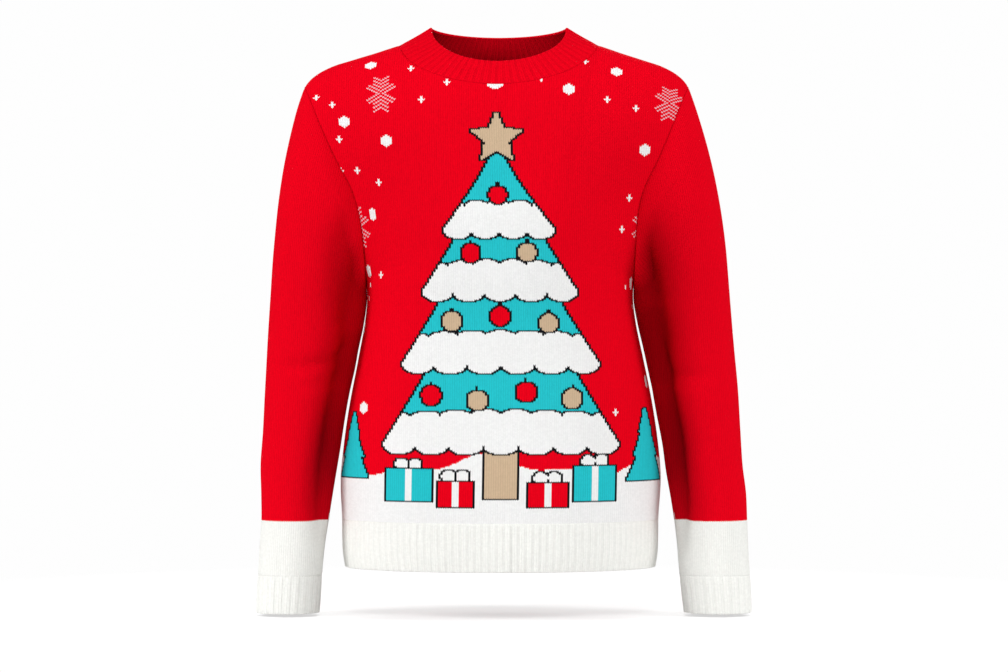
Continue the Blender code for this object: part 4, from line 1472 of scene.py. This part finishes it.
inside_red = plain_knit("inside of the knit", dimmed(RED, 0.8), shadow=0.5)
body = [jacquard_knit(), inside_red]
sleeve = [sleeve_knit(), inside_red]
# furrows: how much painted shade darkens each rib fabric's furrows
white = [rib_knit("white rib", OFF_WHITE, furrows=0.05, shadow=SHADES[WHITE])]
neck = [
    rib_knit("red rib", YARNS[RED], furrows=0.15, shadow=SHADES[RED]),
    rib_knit("inside of the red rib", dimmed(RED, 0.66), furrows=0.18, shadow=0.3),
]
SKINS = {side: sleeve_skin(side) for side in (-1, 1)}

# How each piece is made and of what, the width and length of its cut before it was sewn,
# and its flat area
PIECES = table(
    "node make which materials slot width length area",
    ("front_panel", panel_piece, True, body, "red_knit", 0.510, 0.619, 0.253),
    ("back_panel", panel_piece, False, body, "red_knit", 0.504, 0.622, 0.257),
    ("sleeve_left", sleeve_piece, -1, sleeve, "red_knit", 0.400, 0.598, 0.154),
    ("sleeve_right", sleeve_piece, 1, sleeve, "red_knit", 0.400, 0.598, 0.154),
    ("hem_rib_front", hem_piece, True, white, "white_rib", 0.505, 0.0585, 0.0295),
    ("hem_rib_back", hem_piece, False, white, "white_rib", 0.500, 0.0585, 0.0291),
    ("cuff_left", cuff_piece, -1, white, "white_rib", 0.247, 0.0465, 0.0114),
    ("cuff_right", cuff_piece, 1, white, "white_rib", 0.247, 0.0465, 0.0114),
    ("neckband", band_piece, True, neck, "red_rib", 0.671, 0.0445, 0.0223),
)
for piece in PIECES:
    ob = piece.make(piece.node + "_knit", piece.materials, piece.which)
    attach(ob, "root")
    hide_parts(piece.node)

red_cords = Sheet()
white_cords = Sheet()
for side, skin in SKINS.items():
    add_cord(red_cords, armhole_line(side, skin), closed=True)
    add_cord(red_cords, shoulder_line(side))
    add_cord(red_cords, side_line(side, WHITE_FROM, UNDERARM))
    add_cord(white_cords, side_line(side, HEM_BOTTOM + CORD_END, WHITE_FROM))
    add_cord(red_cords, underarm_line(skin, 0.0, RED_SHARE))
    add_cord(white_cords, underarm_line(skin, RED_SHARE, 1.0))
add_cord(red_cords, neck_line(), closed=True)
red_yarn = plain_knit("red linking yarn", dimmed(RED, 0.8))
white_yarn = plain_knit("white linking yarn", dimmed(WHITE, 0.9))
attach(red_cords.build("seams_red", [red_yarn]), "root")
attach(white_cords.build("seams_white", [white_yarn]), "root")


# ---- Floor, light and camera ----

FLOOR = -0.6765
FLOOR_NEAR = 0.55       # the floor starts to fade into the white world at this distance
FLOOR_REACH = 0.95      # and ends at this one
FLOOR_CLEAR = 0.4       # share of the white world that shows through it before that
FLOOR_GREY = 0.85
FLOOR_GLOW = 0.31
FLOOR_SIDES = 96
FLOOR_HOLE = 1e-3       # share of its radius where its sides meet, too small to see
AMBIENT = 0.42          # strength of the world's light on the cloth
WORLD_SEEN = 0.99       # and where the camera sees it
LAMP_SIZE = 1.4

LAMPS = table(
    "name x y z aim power",
    ("left light", -3.2, -1.5, 1.2, -0.3, 84.0),
    ("right light", 3.2, -1.2, 1.2, -0.3, 62.0),
    ("front light", 0.0, -3.6, 2.0, -0.2, 61.0),
    ("back light", 0.4, 3.6, 1.4, -0.3, 68.0),
)


def floor_finish():
    """Pale, and fading into the white of the world at its edge."""
    f = Finish("floor")
    far = f.add("VectorMath", f.add("TexCoord").outputs["Object"], operation="LENGTH")
    fade = f.add(
        "MapRange", far.outputs["Value"], interpolation_type="SMOOTHSTEP",
        From_Min=FLOOR_NEAR, From_Max=FLOOR_REACH, To_Min=FLOOR_CLEAR)
    matt = f.add("BsdfDiffuse", Color=(FLOOR_GREY, FLOOR_GREY, FLOOR_GREY, 1.0))
    glow = f.add("Emission", Strength=FLOOR_GLOW)
    solid = f.add("AddShader", matt.outputs[0], glow.outputs[0])
    clear = f.add("BsdfTransparent")
    mix = f.add("MixShader", fade.outputs["Result"], solid.outputs[0], clear.outputs[0])
    return f.done(mix.outputs[0])


turn = np.arange(FLOOR_SIDES) * 2.0 * math.pi / FLOOR_SIDES
ring = xyz(np.cos(turn), np.sin(turn), 0.0) * FLOOR_REACH
disc = Sheet()
disc.grid(np.stack((ring, ring * FLOOR_HOLE)), np.zeros((2, FLOOR_SIDES + 1, 2)), closed=True)
floor = disc.build("floor", [floor_finish()], sway=False)
floor.location = (0.0, 0.0, FLOOR)

for lamp in LAMPS:
    data = bpy.data.lights.new(lamp.name, "AREA")
    data.shape = "DISK"
    data.size = LAMP_SIZE
    data.energy = lamp.power
    ob = place(bpy.data.objects.new(lamp.name, data))
    ob.location = (lamp.x, lamp.y, lamp.z)
    ob.rotation_mode = "QUATERNION"
    direction = mathutils.Vector((-lamp.x, -lamp.y, lamp.aim - lamp.z))
    ob.rotation_quaternion = direction.to_track_quat("-Z", "Y")

# The world is white where it is seen, and lights the cloth only a little
world = bpy.data.worlds.new("studio")
world.use_nodes = True
tree = world.node_tree
path = tree.nodes.new("ShaderNodeLightPath")
strength = tree.nodes.new("ShaderNodeMapRange")
strength.inputs["To Min"].default_value = AMBIENT
strength.inputs["To Max"].default_value = WORLD_SEEN
tree.links.new(path.outputs["Is Camera Ray"], strength.inputs["Value"])
tree.links.new(strength.outputs["Result"], tree.nodes["Background"].inputs["Strength"])
tree.nodes["Background"].inputs["Color"].default_value = (1.0, 1.0, 1.0, 1.0)
bpy.context.scene.world = world
bpy.context.scene.view_settings.view_transform = "Standard"

camera = place(bpy.data.objects.new("camera", bpy.data.cameras.new("camera")))
camera.data.lens = LENS
camera.data.sensor_width = SENSOR
camera.location = CAMERA
camera.rotation_euler = (math.pi / 2, 0.0, 0.0)
bpy.context.scene.camera = camera
